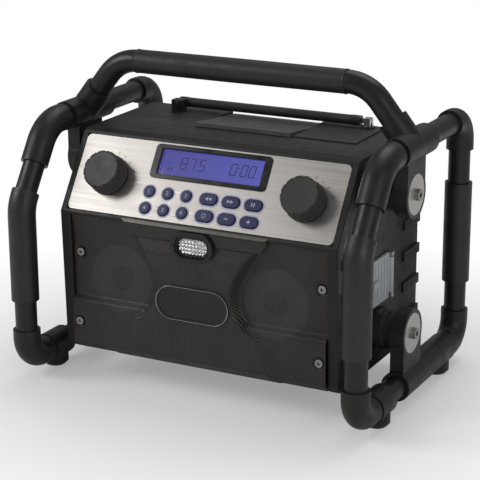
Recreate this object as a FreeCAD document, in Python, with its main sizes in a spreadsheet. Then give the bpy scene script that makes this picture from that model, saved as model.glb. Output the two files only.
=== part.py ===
import FreeCAD, Part
import math
import os
import re
import Sketcher
from FreeCAD import Placement, Rotation, Vector

os.makedirs("parts", exist_ok=True)
doc = FreeCAD.newDocument("JobsiteRadio")
sheet = doc.addObject("Spreadsheet::Sheet", "Sizes")

# Driving dimensions, millimetres and degrees
SIZES = {
    # Cage: the side loops stand at plus and minus half the width
    "cage_width": 410.0,
    "cage_depth": 287.0,
    "rail_height": 24.5,
    "top_height": 290.0,
    "pipe_diameter": 25.0,
    "pipe_wall": 2.0,
    "fitting_diameter": 31.4,
    "sleeve_diameter": 31.6,
    "sleeve_start": 96.0,
    "rear_sleeve_end": 214.5,
    "slant_height": 205.8,
    "slant_radius": 40.0,
    "sleeve_tail": 17.0,
    "corner_radius": 26.0,
    "corner_reach": 36.0,
    "elbow_radius": 46.0,
    "elbow_low_leg": 50.0,
    "elbow_high_leg": 31.0,
    "socket_depth": 8.0,
    "socket_clearance": 0.05,
    "foot_inset": 56.0,
    "foot_tee_length": 36.0,
    "foot_tee_diameter": 33.6,
    "foot_diameter": 30.5,
    "foot_chamfer": 4.0,
    # Handle
    "handle_height": 353.0,
    "handle_slope": 51.5,
    "handle_radius": 48.0,
    "handle_y": -8.0,
    "handle_swell": 0.5,
    "grip_length": 262.0,
    "grip_diameter": 27.6,
    "handle_tee_length": 84.0,
    "handle_collar": 34.0,
    "tee_diameter": 33.4,
    # Ears and mounts
    "ear_width": 50.0,
    "ear_thickness": 16.0,
    "eye_diameter": 54.0,
    "upper_mount_height": 237.5,
    "lower_mount_height": 80.0,
    "mount_tee_length": 105.0,
    "mount_tee_centre": 16.5,
    "bushing_diameter": 44.0,
    "bushing_groove": 2.5,
    "washer_diameter": 45.0,
    "washer_thickness": 2.0,
    "bolt_diameter": 8.0,
    "bolt_head_diameter": 13.0,
    "bolt_head_height": 5.0,
    "hex_key": 6.0,
    "hex_key_floor": 1.5,
    "bolt_clearance": 0.25,
    "drill_depth": 5.0,
    "boss_diameter": 48.0,
    "boss_height": 10.0,
    # Cabinet
    "body_width": 341.6,
    "body_bottom": 36.0,
    "body_back": 106.0,
    "body_seam": 56.0,
    "front_wall": -105.0,
    "front_face": -112.0,
    "wall": 3.0,
    "fit_clearance": 0.3,
    "overrun": 1.0,
    "toe_depth": 6.0,
    "toe_rise": 10.0,
    "head_land": 12.0,
    "back_bevel": 12.0,
    "back_slope_height": 18.0,
    "panel_y": -114.6,
    "panel_z": 202.4,
    "panel_lean": 33.7,
    "panel_length": 90.0,
    "panel_frame": 4.0,
    "deck_height": 282.5,
    "deck_back": 92.0,
    "deck_thickness": 3.0,
    "rib_width": 11.0,
    "rib_height": 2.2,
    "rib_pitch": 37.0,
    "rib_start": 62.0,
    "rib_count": 4,
    "front_rib_length": 44.0,
    "rear_rib_start": 6.0,
    # Control panel
    "plate_width": 326.4,
    "plate_thickness": 2.0,
    "plate_corner": 6.0,
    "plate_clearance": 0.2,
    "plate_lip": 7.0,
    "strip_width": 182.0,
    "strip_thickness": 1.2,
    "strip_gap": 1.0,
    "display_width": 143.0,
    "display_height": 40.0,
    "display_centre": 68.0,
    "window_width": 127.0,
    "window_height": 30.0,
    "display_stand": 1.5,
    "display_corner": 5.0,
    "display_lap": 3.0,
    "display_gap": 2.0,
    "neck_gap": 0.5,
    "lens_thickness": 1.5,
    "lens_sink": 0.5,
    "lens_gap": 0.1,
    "module_lap": 1.5,
    "dial_spacing": 243.0,
    "dial_centre": 43.7,
    "dial_diameter": 45.0,
    "dial_height": 22.0,
    "dial_gap": 1.2,
    "dial_travel": 0.8,
    "dial_skirt": 0.8,
    "dial_skirt_height": 3.0,
    "dial_taper": 0.6,
    "dial_edge": 1.5,
    "dial_face": 5.0,
    "dial_notches": 12,
    "dial_notch": 1.6,
    "dial_notch_length": 9.0,
    "shaft_diameter": 6.0,
    "shaft_clearance": 0.05,
    "shaft_hole_gap": 1.5,
    "shaft_end_gap": 0.3,
    "key_diameter": 13.0,
    "key_width": 21.5,
    "key_height": 2.4,
    "key_travel": 1.0,
    "key_clearance": 0.35,
    "key_flange": 0.8,
    "key_flange_thickness": 1.0,
    "key_edge": 1.0,
    "key_low_row": 12.0,
    "key_row_pitch": 19.5,
    "round_first": -65.5,
    "round_pitch": 23.2,
    "oval_first": 8.6,
    "oval_pitch": 27.2,
    "board_depth": 14.0,
    "board_thickness": 1.6,
    "board_margin": 15.0,
    "board_trim": 8.0,
    "encoder_width": 14.0,
    "encoder_gap": 0.5,
    "post_low": 24.0,
    "post_radius": 3.0,
    "key_mat_width": 150.0,
    "key_mat_margin": 3.0,
    "key_gap": 0.3,
    # Front
    "grille_width": 316.0,
    "grille_sheet": 1.4,
    "grille_lift": 2.0,
    "grille_toe": 8.0,
    "centre_toe": 10.0,
    "centre_slope": 0.7,
    "centre_foot": 11.0,
    "centre_waist": 24.0,
    "centre_waist_drop": 9.0,
    "recess_reach": 20.0,
    "recess_low": 20.0,
    "grille_top": 196.0,
    "grille_centre": -122.0,
    "grille_side": -110.0,
    "grille_low": -117.0,
    "grille_brow": -114.0,
    "visor_back": -116.0,
    "visor_low": 183.0,
    "visor_depth": 2.6,
    "visor_inset": 6.0,
    "visor_taper": 8.0,
    "visor_slope": 15.0,
    "brow_drop": 8.0,
    "ledge_height": 98.5,
    "ledge_half": 3.0,
    "speaker_spacing": 192.0,
    "speaker_height": 127.5,
    "speaker_opening": 77.0,
    "speaker_land": 3.0,
    "curve_start": -75.0,
    "curve_stop": 30.0,
    "curve_step": 15.0,
    "speaker_flange": 92.0,
    "speaker_depth": 42.0,
    "basket_flange": 3.0,
    "basket_lip": 2.0,
    "basket_neck": 15.0,
    "basket_sheet": 4.0,
    "magnet_radius": 29.0,
    "magnet_depth": 15.0,
    "roll_width": 5.0,
    "roll_height": 1.5,
    "cap_radius": 14.0,
    "cap_height": 9.0,
    "cap_stand": 15.0,
    "cone_gap": 0.1,
    "lamp_width": 43.0,
    "lamp_height": 25.0,
    "lamp_rim": 4.0,
    "lamp_centre": 179.5,
    "lamp_front": -123.0,
    "lamp_gap": 0.2,
    "lamp_step": 3.0,
    "lamp_glass": 2.0,
    "cup_gap": 0.6,
    "cup_floor": 2.0,
    "badge_width": 90.0,
    "badge_height": 39.0,
    "badge_centre": 114.0,
    "badge_stand": 2.0,
    "badge_rim": 2.5,
    "badge_sink": 0.8,
    "screw_diameter": 9.0,
    "screw_shank": 4.0,
    "screw_head": 2.6,
    "screw_dish": 2.6,
    "screw_dish_land": 0.3,
    "screw_key_share": 0.8,
    "screw_x": 150.0,
    "screw_low": 70.5,
    "screw_high": 151.0,
    # Hatch cover and pocket
    "lid_width": 120.0,
    "lid_length": 97.5,
    "lid_thickness": 5.0,
    "lid_slope": 5.6,
    "lid_front": -2.5,
    "lid_rim": 6.0,
    "lid_grooves": 24,
    "lid_groove_width": 1.4,
    "lid_groove_start": 10.0,
    "lid_groove_margin": 8.0,
    "slide_clearance": 0.3,
    "deck_gap": 0.2,
    "channel_depth": 20.0,
    "channel_wall": 5.0,
    "channel_gap": 0.5,
    "pocket_width": 100.0,
    "pocket_depth": 30.0,
    "pocket_length": 52.0,
    "pocket_start": 12.0,
    # Antenna
    "antenna_y": 73.0,
    "antenna_z": 291.5,
    "antenna_x": 121.0,
    "whip_length": 234.0,
    "whip_diameter": 11.0,
    "swivel_diameter": 12.0,
    "fork_gap": 4.0,
    "fork_pin": 2.4,
    "fork_clearance": 0.3,
    "cheek": 3.0,
    "cheek_width": 8.0,
    "cheek_rise": 4.0,
    "swivel_stem": 6.0,
    "stem_gap": 1.0,
    "stem_reach": 2.8,
    "turret_radius": 8.0,
    "turret_height": 3.2,
    "turret_gap": 0.3,
    "antenna_pad": 1.5,
    "antenna_pad_width": 76.0,
    "antenna_pad_length": 84.0,
    "antenna_pad_reach": 59.0,
    "antenna_pad_front": 73.0,
    "boot_length": 12.0,
    "boot_swell": 0.4,
    "boot_end": 8.5,
    "ferrule_radius": 3.4,
    "ferrule_sink": 6.0,
    "eye_radius": 4.0,
    "neck_length": 9.0,
    "neck_height": 5.0,
    "rest_width": 14.0,
    "rest_depth": 12.0,
    "rest_height": 14.0,
    "rest_shift": 3.0,
    "peg_length": 3.0,
    # Side door
    "door_width": 43.0,
    "door_height": 52.6,
    "door_y": -28.0,
    "door_z": 108.4,
    "door_thickness": 4.0,
    "side_plate": 3.0,
    "side_rib_sink": 0.2,
    "door_lap": 3.0,
    "door_rib_height": 1.2,
    "door_rib_width": 3.0,
    "door_rib_margin": 4.0,
    "door_rib_sink": 0.5,
    "latch_depth": 5.5,
    "latch_width": 9.0,
    "latch_height": 8.0,
    "latch_ahead": 5.0,
    "tab_length": 14.0,
    "tab_height": 7.0,
    "hinge_pin": 2.4,
    "hinge_stand": 3.6,
    "hinge_offset": 4.0,
    "hinge_ear": 5.0,
    "hinge_ear_reach": 6.2,
    "knuckle_wall": 2.0,
    "knuckle_inset": 6.0,
    "hinge_clearance": 0.05,
    "socket_recess": 12.0,
    "socket_offset": 8.0,
    "socket_length": 6.0,
    "inlet_radius": 5.5,
    "inlet_bore": 2.75,
    "jack_radius": 4.5,
    "jack_bore": 1.8,
    # Battery
    "battery_width": 118.0,
    "battery_height": 128.0,
    "battery_depth": 70.0,
    "battery_floor": 68.0,
    "battery_door_margin": 6.0,
    "battery_hinge_drop": 4.5,
    "battery_rib_inset": 10.0,
    "battery_rib_height": 1.5,
    "battery_ear": 4.5,
    "ear_setback": 2.7,
    "bay_gap": 0.1,
    "bay_opening": 20.0,
    "door_seat_margin": 4.0,
    "web_height": 5.0,
}
for row, (alias, value) in enumerate(SIZES.items(), start=1):
    sheet.set(f"A{row}", alias.replace("_", " "))
    sheet.set(f"B{row}", str(value))
    sheet.setAlias(f"B{row}", alias)
doc.recompute()


def size(alias):
    """Read one driving dimension back from the sheet."""
    return float(sheet.get(alias))


def bind(thing, prop, text):
    """Tie a property to an expression in the names of the sheet."""
    linked = re.sub(r"[a-z][a-z_]*", lambda word: name_in_sheet(word.group(0)), str(text))
    thing.setExpression(prop, linked)


def name_in_sheet(word):
    """Point a sheet name at its cell and leave functions as they are."""
    return f"Sizes.{word}" if word in SIZES else word


def place(thing, x="0", y="0", z="0", axis=(0, 0, 1), angle="0"):
    """Bind a placement: where it stands, and its turn about one axis."""
    thing.Placement = Placement(Vector(0, 0, 0), Rotation(Vector(*axis), 30))
    bind(thing, "Placement.Base.x", x)
    bind(thing, "Placement.Base.y", y)
    bind(thing, "Placement.Base.z", z)
    bind(thing, "Placement.Rotation.Angle", angle)
    return thing


TURN = {"x": ((0, 1, 0), "90"), "y": ((1, 0, 0), "-90"), "z": ((0, 0, 1), "0")}


def cylinder(radius, length, x, y, z, along="z"):
    """A round bar that starts at a point and runs along a positive axis."""
    bar = doc.addObject("Part::Cylinder", "Bar")
    bind(bar, "Radius", radius)
    bind(bar, "Height", length)
    axis, angle = TURN[along]
    return place(bar, x, y, z, axis, angle)


def box(length, width, height, x, y, z, axis=(0, 0, 1), angle="0"):
    """A block from its low corner."""
    block = doc.addObject("Part::Box", "Block")
    bind(block, "Length", length)
    bind(block, "Width", width)
    bind(block, "Height", height)
    return place(block, x, y, z, axis, angle)


def fuse(parts):
    joined = doc.addObject("Part::MultiFuse", "Joined")
    joined.Shapes = parts
    joined.Refine = True
    return joined


def cut(base, *tools):
    """Take each tool out of the base in turn."""
    for tool in tools:
        less = doc.addObject("Part::Cut", "Less")
        less.Base = base
        less.Tool = tool
        base = less
    return base


def group(parts):
    """Like pieces that share one node, each still a solid of its own."""
    together = doc.addObject("Part::Compound", "Group")
    together.Links = parts
    return together


subparts = []


def name(thing, label):
    """Give a finished sub-part the label that names its file."""
    thing.Label = label
    subparts.append(thing)
    return thing


def shape(label, solid):
    """A sub-part whose form neither sketches nor primitives make well."""
    feature = doc.addObject("Part::Feature", "Form")
    feature.Shape = solid
    feature.Placement = Placement()
    return name(feature, label)


def new_body(label):
    body = doc.addObject("PartDesign::Body", "Body")
    return name(body, label)


def plane_of(body, role):
    for item in body.Origin.OriginFeatures:
        if item.Role == role:
            return item
    raise ValueError(role)


def sketch_on(body, role, offset="0"):
    """A sketch on one of the body's own origin planes, moved along its normal."""
    sketch = body.newObject("Sketcher::SketchObject", "Outline")
    sketch.AttachmentSupport = [(plane_of(body, role), "")]
    sketch.MapMode = "FlatFace"
    bind(sketch, "AttachmentOffset.Base.z", offset)
    return sketch


def worth(sketch, text):
    """The value that an expression has now, so a sketch starts solved."""
    linked = re.sub(r"[a-z][a-z_]*", lambda word: name_in_sheet(word.group(0)), str(text))
    return float(sketch.evalExpression(linked))


def pin(sketch, kind, edge, end, text):
    """Hold one sketch point by one dimension from the origin."""
    value = worth(sketch, text)
    index = sketch.addConstraint(Sketcher.Constraint(kind, -1, 1, edge, end, value))
    bind(sketch, f"Constraints[{index}]", text)


def pin_point(sketch, edge, end, across, up):
    pin(sketch, "DistanceX", edge, end, across)
    pin(sketch, "DistanceY", edge, end, up)


def polygon(sketch, points):
    """A closed outline whose every corner is an expression pair."""
    corners = [Vector(worth(sketch, across), worth(sketch, up), 0) for across, up in points]
    count = len(points)
    first = sketch.GeometryCount
    for index in range(count):
        sketch.addGeometry(Part.LineSegment(corners[index], corners[(index + 1) % count]), False)
    for index in range(count):
        following = first + (index + 1) % count
        sketch.addConstraint(Sketcher.Constraint("Coincident", first + index, 2, following, 1))
    for index, (across, up) in enumerate(points):
        pin_point(sketch, first + index, 1, across, up)


def circle(sketch, radius, across="0", up="0"):
    middle = Vector(worth(sketch, across), worth(sketch, up), 0)
    value = worth(sketch, radius)
    edge = sketch.addGeometry(Part.Circle(middle, Vector(0, 0, 1), value), False)
    index = sketch.addConstraint(Sketcher.Constraint("Radius", edge, value))
    bind(sketch, f"Constraints[{index}]", radius)
    pin_point(sketch, edge, 3, across, up)


def stadium(sketch, width, height, across="0", up="0"):
    """A slot outline: two half circles joined by straight sides."""
    half = f"(({width}) - ({height})) / 2"
    radius = f"({height}) / 2"
    left = f"({across}) - {half}"
    right = f"({across}) + {half}"
    top = f"({up}) + {radius}"
    low = f"({up}) - {radius}"
    x1, x2, y1, y2, ym, r = [worth(sketch, text) for text in (left, right, low, top, up, radius)]
    first = sketch.GeometryCount
    sketch.addGeometry(Part.LineSegment(Vector(x1, y1, 0), Vector(x2, y1, 0)), False)
    sketch.addGeometry(Part.Arc(Vector(x2, y1, 0), Vector(x2 + r, ym, 0), Vector(x2, y2, 0)), False)
    sketch.addGeometry(Part.LineSegment(Vector(x2, y2, 0), Vector(x1, y2, 0)), False)
    sketch.addGeometry(Part.Arc(Vector(x1, y2, 0), Vector(x1 - r, ym, 0), Vector(x1, y1, 0)), False)
    for index in range(4):
        following = first + (index + 1) % 4
        sketch.addConstraint(Sketcher.Constraint("Coincident", first + index, 2, following, 1))
    pin_point(sketch, first, 1, left, low)
    pin_point(sketch, first, 2, right, low)
    pin_point(sketch, first + 2, 1, right, top)
    pin_point(sketch, first + 2, 2, left, top)
    pin(sketch, "DistanceX", first + 1, 3, right)
    pin(sketch, "DistanceX", first + 3, 3, left)


def rectangle(sketch, width, height, across="0", up="0"):
    half = f"({width}) / 2"
    tall = f"({height}) / 2"
    corners = [(-1, -1), (1, -1), (1, 1), (-1, 1)]
    points = [(f"({across}) + {a} * {half}", f"({up}) + {b} * {tall}") for a, b in corners]
    polygon(sketch, points)


def pad(body, sketch, length, both=False, back=False):
    feature = body.newObject("PartDesign::Pad", "Pad")
    feature.Profile = sketch
    bind(feature, "Length", length)
    feature.Midplane = both
    feature.Reversed = back
    return feature


def pocket(body, sketch, length, both=False, back=False):
    feature = body.newObject("PartDesign::Pocket", "Pocket")
    feature.Profile = sketch
    bind(feature, "Length", length)
    feature.Midplane = both
    feature.Reversed = back
    return feature


def revolve(body, sketch, cutting=False):
    """Turn an outline about the body's own Z axis."""
    kind = "PartDesign::Groove" if cutting else "PartDesign::Revolution"
    feature = body.newObject(kind, "Turned")
    feature.Profile = sketch
    feature.ReferenceAxis = (sketch, ["V_Axis"])
    feature.Angle = 360
    return feature


def rows(body, feature, axis_role, length, count):
    """Repeat a feature in a straight row and make it count."""
    pattern = body.newObject("PartDesign::LinearPattern", "Row")
    pattern.Originals = [feature]
    pattern.Direction = (plane_of(body, axis_role), [""])
    bind(pattern, "Length", length)
    pattern.Occurrences = count
    body.Tip = pattern
    return pattern


def round_row(body, feature, count):
    """Repeat a feature around the body's Z axis and make it count."""
    pattern = body.newObject("PartDesign::PolarPattern", "Ring")
    pattern.Originals = [feature]
    pattern.Axis = (plane_of(body, "Z_Axis"), [""])
    pattern.Angle = 360
    bind(pattern, "Occurrences", count)
    body.Tip = pattern
    return pattern


SIDES = (-1, 1)
TINY = 0.0001
KEYS_IN_ROW = 3
BATTERY_RIBS = 4
DOOR_RIBS = 5
PANEL_TILT = "90 - panel_lean"


def on_panel(thing, across="0", along="0", out="0"):
    """Stand a piece on the sloping panel: across, up the slope, and out of it."""
    y = f"panel_y + ({along}) * sin(panel_lean) - ({out}) * cos(panel_lean)"
    z = f"panel_z + ({along}) * cos(panel_lean) + ({out}) * sin(panel_lean)"
    return place(thing, across, y, z, (1, 0, 0), PANEL_TILT)


# Bent pipes and fittings of the cage, in the plane of a side loop
def rounded_path(points, radii):
    """Straight runs joined by tangent arcs at the inner points."""
    edges = []
    start = points[0]
    for index in range(1, len(points) - 1):
        corner = points[index]
        back = (points[index - 1] - corner).normalize()
        ahead = (points[index + 1] - corner).normalize()
        half = back.getAngle(ahead) / 2
        reach = radii[index - 1] / math.tan(half)
        into = corner + back * reach
        out = corner + ahead * reach
        middle = (back + ahead).normalize()
        rise = radii[index - 1] / math.sin(half) - radii[index - 1]
        edges.append(Part.LineSegment(start, into).toShape())
        edges.append(Part.Arc(into, corner + middle * rise, out).toShape())
        start = out
    edges.append(Part.LineSegment(start, points[-1]).toShape())
    return Part.Wire(edges)


def tube_along(points, radii, outer, inner=0.0):
    """A round tube carried along a path, hollow when it has an inner radius."""
    path = rounded_path(points, radii)
    heading = points[1] - points[0]
    solids = []
    for radius in (outer, inner):
        if radius > 0:
            ring = Part.Wire(Part.makeCircle(radius, points[0], heading))
            solids.append(path.makePipeShell([ring], True, False))
    if len(solids) == 1:
        return solids[0]
    return solids[0].cut(solids[1])


def rod(start, stop, radius):
    """A plain round bar between two points."""
    run = stop - start
    return Part.makeCylinder(radius, run.Length, start, run)


POST_Y = size("cage_depth") / 2
SIDE_X = size("cage_width") / 2
LEAN = math.radians(size("panel_lean"))
RAIL_Z = size("rail_height")
TOP_Z = size("top_height")
SLANT_Z = size("slant_height")
ELBOW_Y = (TOP_Z - SLANT_Z) * math.tan(LEAN) - POST_Y
UP_SLANT = Vector(0, math.sin(LEAN), math.cos(LEAN))
PIPE_R = size("pipe_diameter") / 2
BORE_R = PIPE_R - size("pipe_wall")
SOCKET_R = PIPE_R + size("socket_clearance")
FITTING_R = size("fitting_diameter") / 2
REACH = size("corner_reach")
SOCKET = size("socket_depth")


def side_point(side, y, z):
    return Vector(side * SIDE_X, y, z)


def front_post(side):
    """Lower front corner up, round the bend and along the slant."""
    elbow = side_point(side, ELBOW_Y, TOP_Z)
    end = elbow - UP_SLANT * (size("elbow_low_leg") - SOCKET)
    low = side_point(side, -POST_Y, RAIL_Z + REACH - SOCKET)
    bend = side_point(side, -POST_Y, SLANT_Z)
    return tube_along([low, bend, end], [size("slant_radius")], PIPE_R, BORE_R)


def front_sleeve(side):
    low = side_point(side, -POST_Y, size("sleeve_start"))
    bend = side_point(side, -POST_Y, SLANT_Z)
    end = bend + UP_SLANT * size("sleeve_tail")
    return tube_along([low, bend, end], [size("slant_radius")], size("sleeve_diameter") / 2, SOCKET_R)


def rear_post(side):
    low = side_point(side, POST_Y, RAIL_Z + REACH - SOCKET)
    high = side_point(side, POST_Y, TOP_Z - REACH + SOCKET)
    return rod(low, high, PIPE_R).cut(rod(low, high, BORE_R))


def rear_sleeve(side):
    low = side_point(side, POST_Y, size("sleeve_start"))
    high = side_point(side, POST_Y, size("rear_sleeve_end"))
    return rod(low, high, size("sleeve_diameter") / 2).cut(rod(low, high, SOCKET_R))


def bottom_rail(side):
    front = side_point(side, -POST_Y + REACH - SOCKET, RAIL_Z)
    back = side_point(side, POST_Y - REACH + SOCKET, RAIL_Z)
    return rod(front, back, PIPE_R).cut(rod(front, back, BORE_R))


def top_rail(side):
    front = side_point(side, ELBOW_Y + size("elbow_high_leg") - SOCKET, TOP_Z)
    back = side_point(side, POST_Y - REACH + SOCKET, TOP_Z)
    return rod(front, back, PIPE_R).cut(rod(front, back, BORE_R))


def elbow(points, radius):
    """A moulded elbow with a pipe socket in each end and a bore between."""
    body = tube_along(points, [radius], FITTING_R, BORE_R)
    for end, near in ((points[0], points[1]), (points[2], points[1])):
        inward = (near - end).normalize()
        body = body.cut(rod(end, end + inward * SOCKET, SOCKET_R))
    return body


def front_elbow(side):
    corner = side_point(side, ELBOW_Y, TOP_Z)
    low = corner - UP_SLANT * size("elbow_low_leg")
    back = corner + Vector(0, size("elbow_high_leg"), 0)
    return elbow([low, corner, back], size("elbow_radius"))


def corner_elbows(side):
    """The two lower corners and the upper rear one."""
    spots = ((-POST_Y, RAIL_Z, 1, 1), (POST_Y, RAIL_Z, -1, 1), (POST_Y, TOP_Z, -1, -1))
    made = []
    for y, z, along, up in spots:
        corner = side_point(side, y, z)
        post_end = corner + Vector(0, 0, up * REACH)
        rail_end = corner + Vector(0, along * REACH, 0)
        made.append(elbow([post_end, corner, rail_end], size("corner_radius")))
    return made


def foot_tee(side, along):
    """A collar on the bottom rail with a stub foot that reaches the floor."""
    y = along * (POST_Y - size("foot_inset"))
    half = Vector(0, size("foot_tee_length") / 2, 0)
    centre = side_point(side, y, RAIL_Z)
    collar = rod(centre - half, centre + half, size("foot_tee_diameter") / 2)
    stub = rod(side_point(side, y, 0), centre, size("foot_diameter") / 2)
    rim = [edge for edge in stub.Edges if edge.BoundBox.ZMax < TINY]
    stub = stub.makeChamfer(size("foot_chamfer"), rim)
    return collar.fuse(stub).cut(rod(centre - half, centre + half, SOCKET_R)).removeSplitter()


def ear(side, y, rail_z, eye_z):
    """A flat ear from the rail to a round eye around a mount axis."""
    half = size("ear_thickness") / 2
    across = Vector(half, 0, 0)
    eye = side_point(side, y, eye_z)
    disc = rod(eye - across, eye + across, size("eye_diameter") / 2)
    low = min(rail_z, eye_z)
    corner = side_point(side, y - size("ear_width") / 2, low) - across
    stem = Part.makeBox(2 * half, size("ear_width"), abs(rail_z - eye_z), corner)
    return disc.fuse(stem)


def eye_holes(side, y, z):
    """The bolt hole and the washer's recess in the outer face of an ear."""
    half = size("ear_thickness") / 2
    middle = side_point(side, y, z)
    outward = Vector(side, 0, 0)
    clearance = size("bolt_clearance")
    hole = rod(middle - outward * half, middle + outward * half, size("bolt_diameter") / 2 + clearance)
    seat_r = size("washer_diameter") / 2 + clearance
    face = middle + outward * half
    seat = rod(face - outward * size("washer_thickness"), face, seat_r)
    return hole.fuse(seat)


def mount_tee(side):
    """The long lower collar and its upright ear."""
    middle = size("mount_tee_centre")
    half = size("mount_tee_length") / 2
    start = side_point(side, middle - half, RAIL_Z)
    stop = side_point(side, middle + half, RAIL_Z)
    collar = rod(start, stop, size("tee_diameter") / 2)
    upright = ear(side, size("handle_y"), RAIL_Z, size("lower_mount_height"))
    holes = eye_holes(side, size("handle_y"), size("lower_mount_height"))
    return collar.fuse(upright).cut(rod(start, stop, SOCKET_R)).cut(holes).removeSplitter()


HANDLE_SLOPE = math.radians(size("handle_slope"))
HANDLE_UP = Vector(-math.cos(HANDLE_SLOPE), 0, math.sin(HANDLE_SLOPE))
HANDLE_RUN = (size("handle_height") - TOP_Z) / HANDLE_UP.z
HANDLE_R = PIPE_R + size("handle_swell")


def handle_heading(side):
    return Vector(side * HANDLE_UP.x, 0, HANDLE_UP.z)


def handle_tee(side):
    """Joins the top rail, the handle and the hanging ear."""
    y = size("handle_y")
    half = Vector(0, size("handle_tee_length") / 2, 0)
    centre = side_point(side, y, TOP_Z)
    collar = rod(centre - half, centre + half, size("tee_diameter") / 2)
    heading = handle_heading(side)
    branch = rod(centre, centre + heading * size("handle_collar"), size("tee_diameter") / 2)
    hanging = ear(side, y, TOP_Z, size("upper_mount_height"))
    solid = collar.fuse(branch).fuse(hanging)
    solid = solid.cut(rod(centre - half, centre + half, SOCKET_R))
    mouth = centre + heading * size("handle_collar")
    solid = solid.cut(rod(mouth - heading * SOCKET, mouth, HANDLE_R + size("socket_clearance")))
    return solid.cut(eye_holes(side, y, size("upper_mount_height"))).removeSplitter()


def handle_tube():
    """The carrying handle: a pipe bent at both shoulders."""
    y = size("handle_y")
    ends = []
    for side in SIDES:
        centre = side_point(side, y, TOP_Z)
        heading = handle_heading(side)
        low = centre + heading * (size("handle_collar") - SOCKET)
        ends.append((low, centre + heading * HANDLE_RUN))
    points = [ends[0][0], ends[0][1], ends[1][1], ends[1][0]]
    bend = size("handle_radius")
    return tube_along(points, [bend, bend], HANDLE_R, BORE_R)


def build_cage():
    """Both side loops and the handle between them."""
    makers = {
        "front_posts": front_post,
        "front_post_sleeves": front_sleeve,
        "rear_posts": rear_post,
        "rear_post_sleeves": rear_sleeve,
        "bottom_rails": bottom_rail,
        "top_rails": top_rail,
        "upper_front_elbows": front_elbow,
        "mount_tees": mount_tee,
        "handle_tees": handle_tee,
    }
    for label, maker in makers.items():
        shape(label, Part.makeCompound([maker(side) for side in SIDES]))
    shape("corner_elbows", Part.makeCompound(corner_elbows(-1) + corner_elbows(1)))
    feet = [foot_tee(side, along) for side in SIDES for along in SIDES]
    shape("foot_tees", Part.makeCompound(feet))
    shape("handle_tube", handle_tube())


def handle_grip():
    """The sleeve over the straight top of the handle."""
    outer = cylinder("grip_diameter / 2", "grip_length", "-grip_length / 2", "handle_y", "handle_height", "x")
    tube = "pipe_diameter / 2 + handle_swell + socket_clearance"
    inner = cylinder(tube, "grip_length", "-grip_length / 2", "handle_y", "handle_height", "x")
    name(cut(outer, inner), "handle_grip")


# Hardware that hangs the cabinet between the ears
MOUNT_HEIGHTS = ("upper_mount_height", "lower_mount_height")
EAR_INNER = "cage_width / 2 - ear_thickness / 2"
EAR_OUTER = "cage_width / 2 + ear_thickness / 2"
BOSS_FACE = "body_width / 2 + boss_height"


def crosswise(side, radius, near, far, y, z):
    """A round bar along X on one side, from a near to a far distance."""
    start = near if side > 0 else f"-({far})"
    return cylinder(radius, f"({far}) - ({near})", start, y, z, "x")


def at_mounts(maker):
    return group([maker(side, height) for side in SIDES for height in MOUNT_HEIGHTS])


def bushing(side, z):
    """A rubber bushing with a groove round its waist and a bolt hole."""
    y = "handle_y"
    third = f"(({EAR_INNER}) - ({BOSS_FACE})) / 3"
    first = f"({BOSS_FACE}) + {third}"
    second = f"({BOSS_FACE}) + 2 * {third}"
    radius = "bushing_diameter / 2"
    waist = crosswise(side, f"{radius} - bushing_groove", first, second, y, z)
    inner = crosswise(side, radius, BOSS_FACE, first, y, z)
    outer = crosswise(side, radius, second, EAR_INNER, y, z)
    hole = crosswise(side, "bolt_diameter / 2 + bolt_clearance", BOSS_FACE, EAR_INNER, y, z)
    return cut(fuse([inner, waist, outer]), hole)


def washer(side, z):
    seat = f"({EAR_OUTER}) - washer_thickness"
    plate = crosswise(side, "washer_diameter / 2", seat, EAR_OUTER, "handle_y", z)
    return cut(plate, crosswise(side, "bolt_diameter / 2 + bolt_clearance", seat, EAR_OUTER, "handle_y", z))


def bolt(side, z):
    """A hex-socket bolt from the washer's face into the cabinet's boss."""
    y = "handle_y"
    shank = crosswise(side, "bolt_diameter / 2", "body_width / 2 - wall", EAR_OUTER, y, z)
    top = f"({EAR_OUTER}) + bolt_head_height"
    head = crosswise(side, "bolt_head_diameter / 2", EAR_OUTER, top, y, z)
    key = doc.addObject("Part::Prism", "Key")
    key.Polygon = 6
    bind(key, "Circumradius", "hex_key / 2")
    bind(key, "Height", "bolt_head_height")
    floor_x = f"(({EAR_OUTER}) + hex_key_floor)"
    start = floor_x if side > 0 else f"-{floor_x} - bolt_head_height"
    place(key, start, y, z, (0, 1, 0), "90")
    return cut(fuse([shank, head]), key)


def build_hardware():
    handle_grip()
    name(at_mounts(bushing), "mount_bushings")
    name(at_mounts(washer), "mount_washers")
    name(at_mounts(bolt), "mount_bolts")


# Cabinet: two shells that meet at a seam, and a deck over both
HEAD_Y = "(panel_y + panel_length * sin(panel_lean))"
HEAD_Z = "(panel_z + panel_length * cos(panel_lean))"
DECK_FRONT = f"({HEAD_Y} + head_land)"
SHELL_TOP = "(deck_height - deck_thickness)"
BACKING = "(plate_thickness + wall)"
CHANNEL_LOW = "(deck_height - channel_depth)"
CHANNEL_WIDE = "(lid_width + 2 * channel_wall)"


def slab(body, length, points, cutting=False):
    """Carry a side outline across the width, half to each side."""
    sketch = sketch_on(body, "YZ_Plane")
    polygon(sketch, points)
    if cutting:
        return pocket(body, sketch, length, both=True)
    return pad(body, sketch, length, both=True)


def side_ribs(body, near, far):
    """Level ribs that stand out from the walls between two depths."""
    sketch = sketch_on(body, "XY_Plane", "rib_start")
    middle = f"(({near}) + ({far})) / 2"
    rectangle(sketch, "body_width + 2 * rib_height", f"({far}) - ({near})", "0", middle)
    rib = pad(body, sketch, "rib_width")
    return rows(body, rib, "Z_Axis", "rib_pitch * (rib_count - 1)", int(size("rib_count")))


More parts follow.
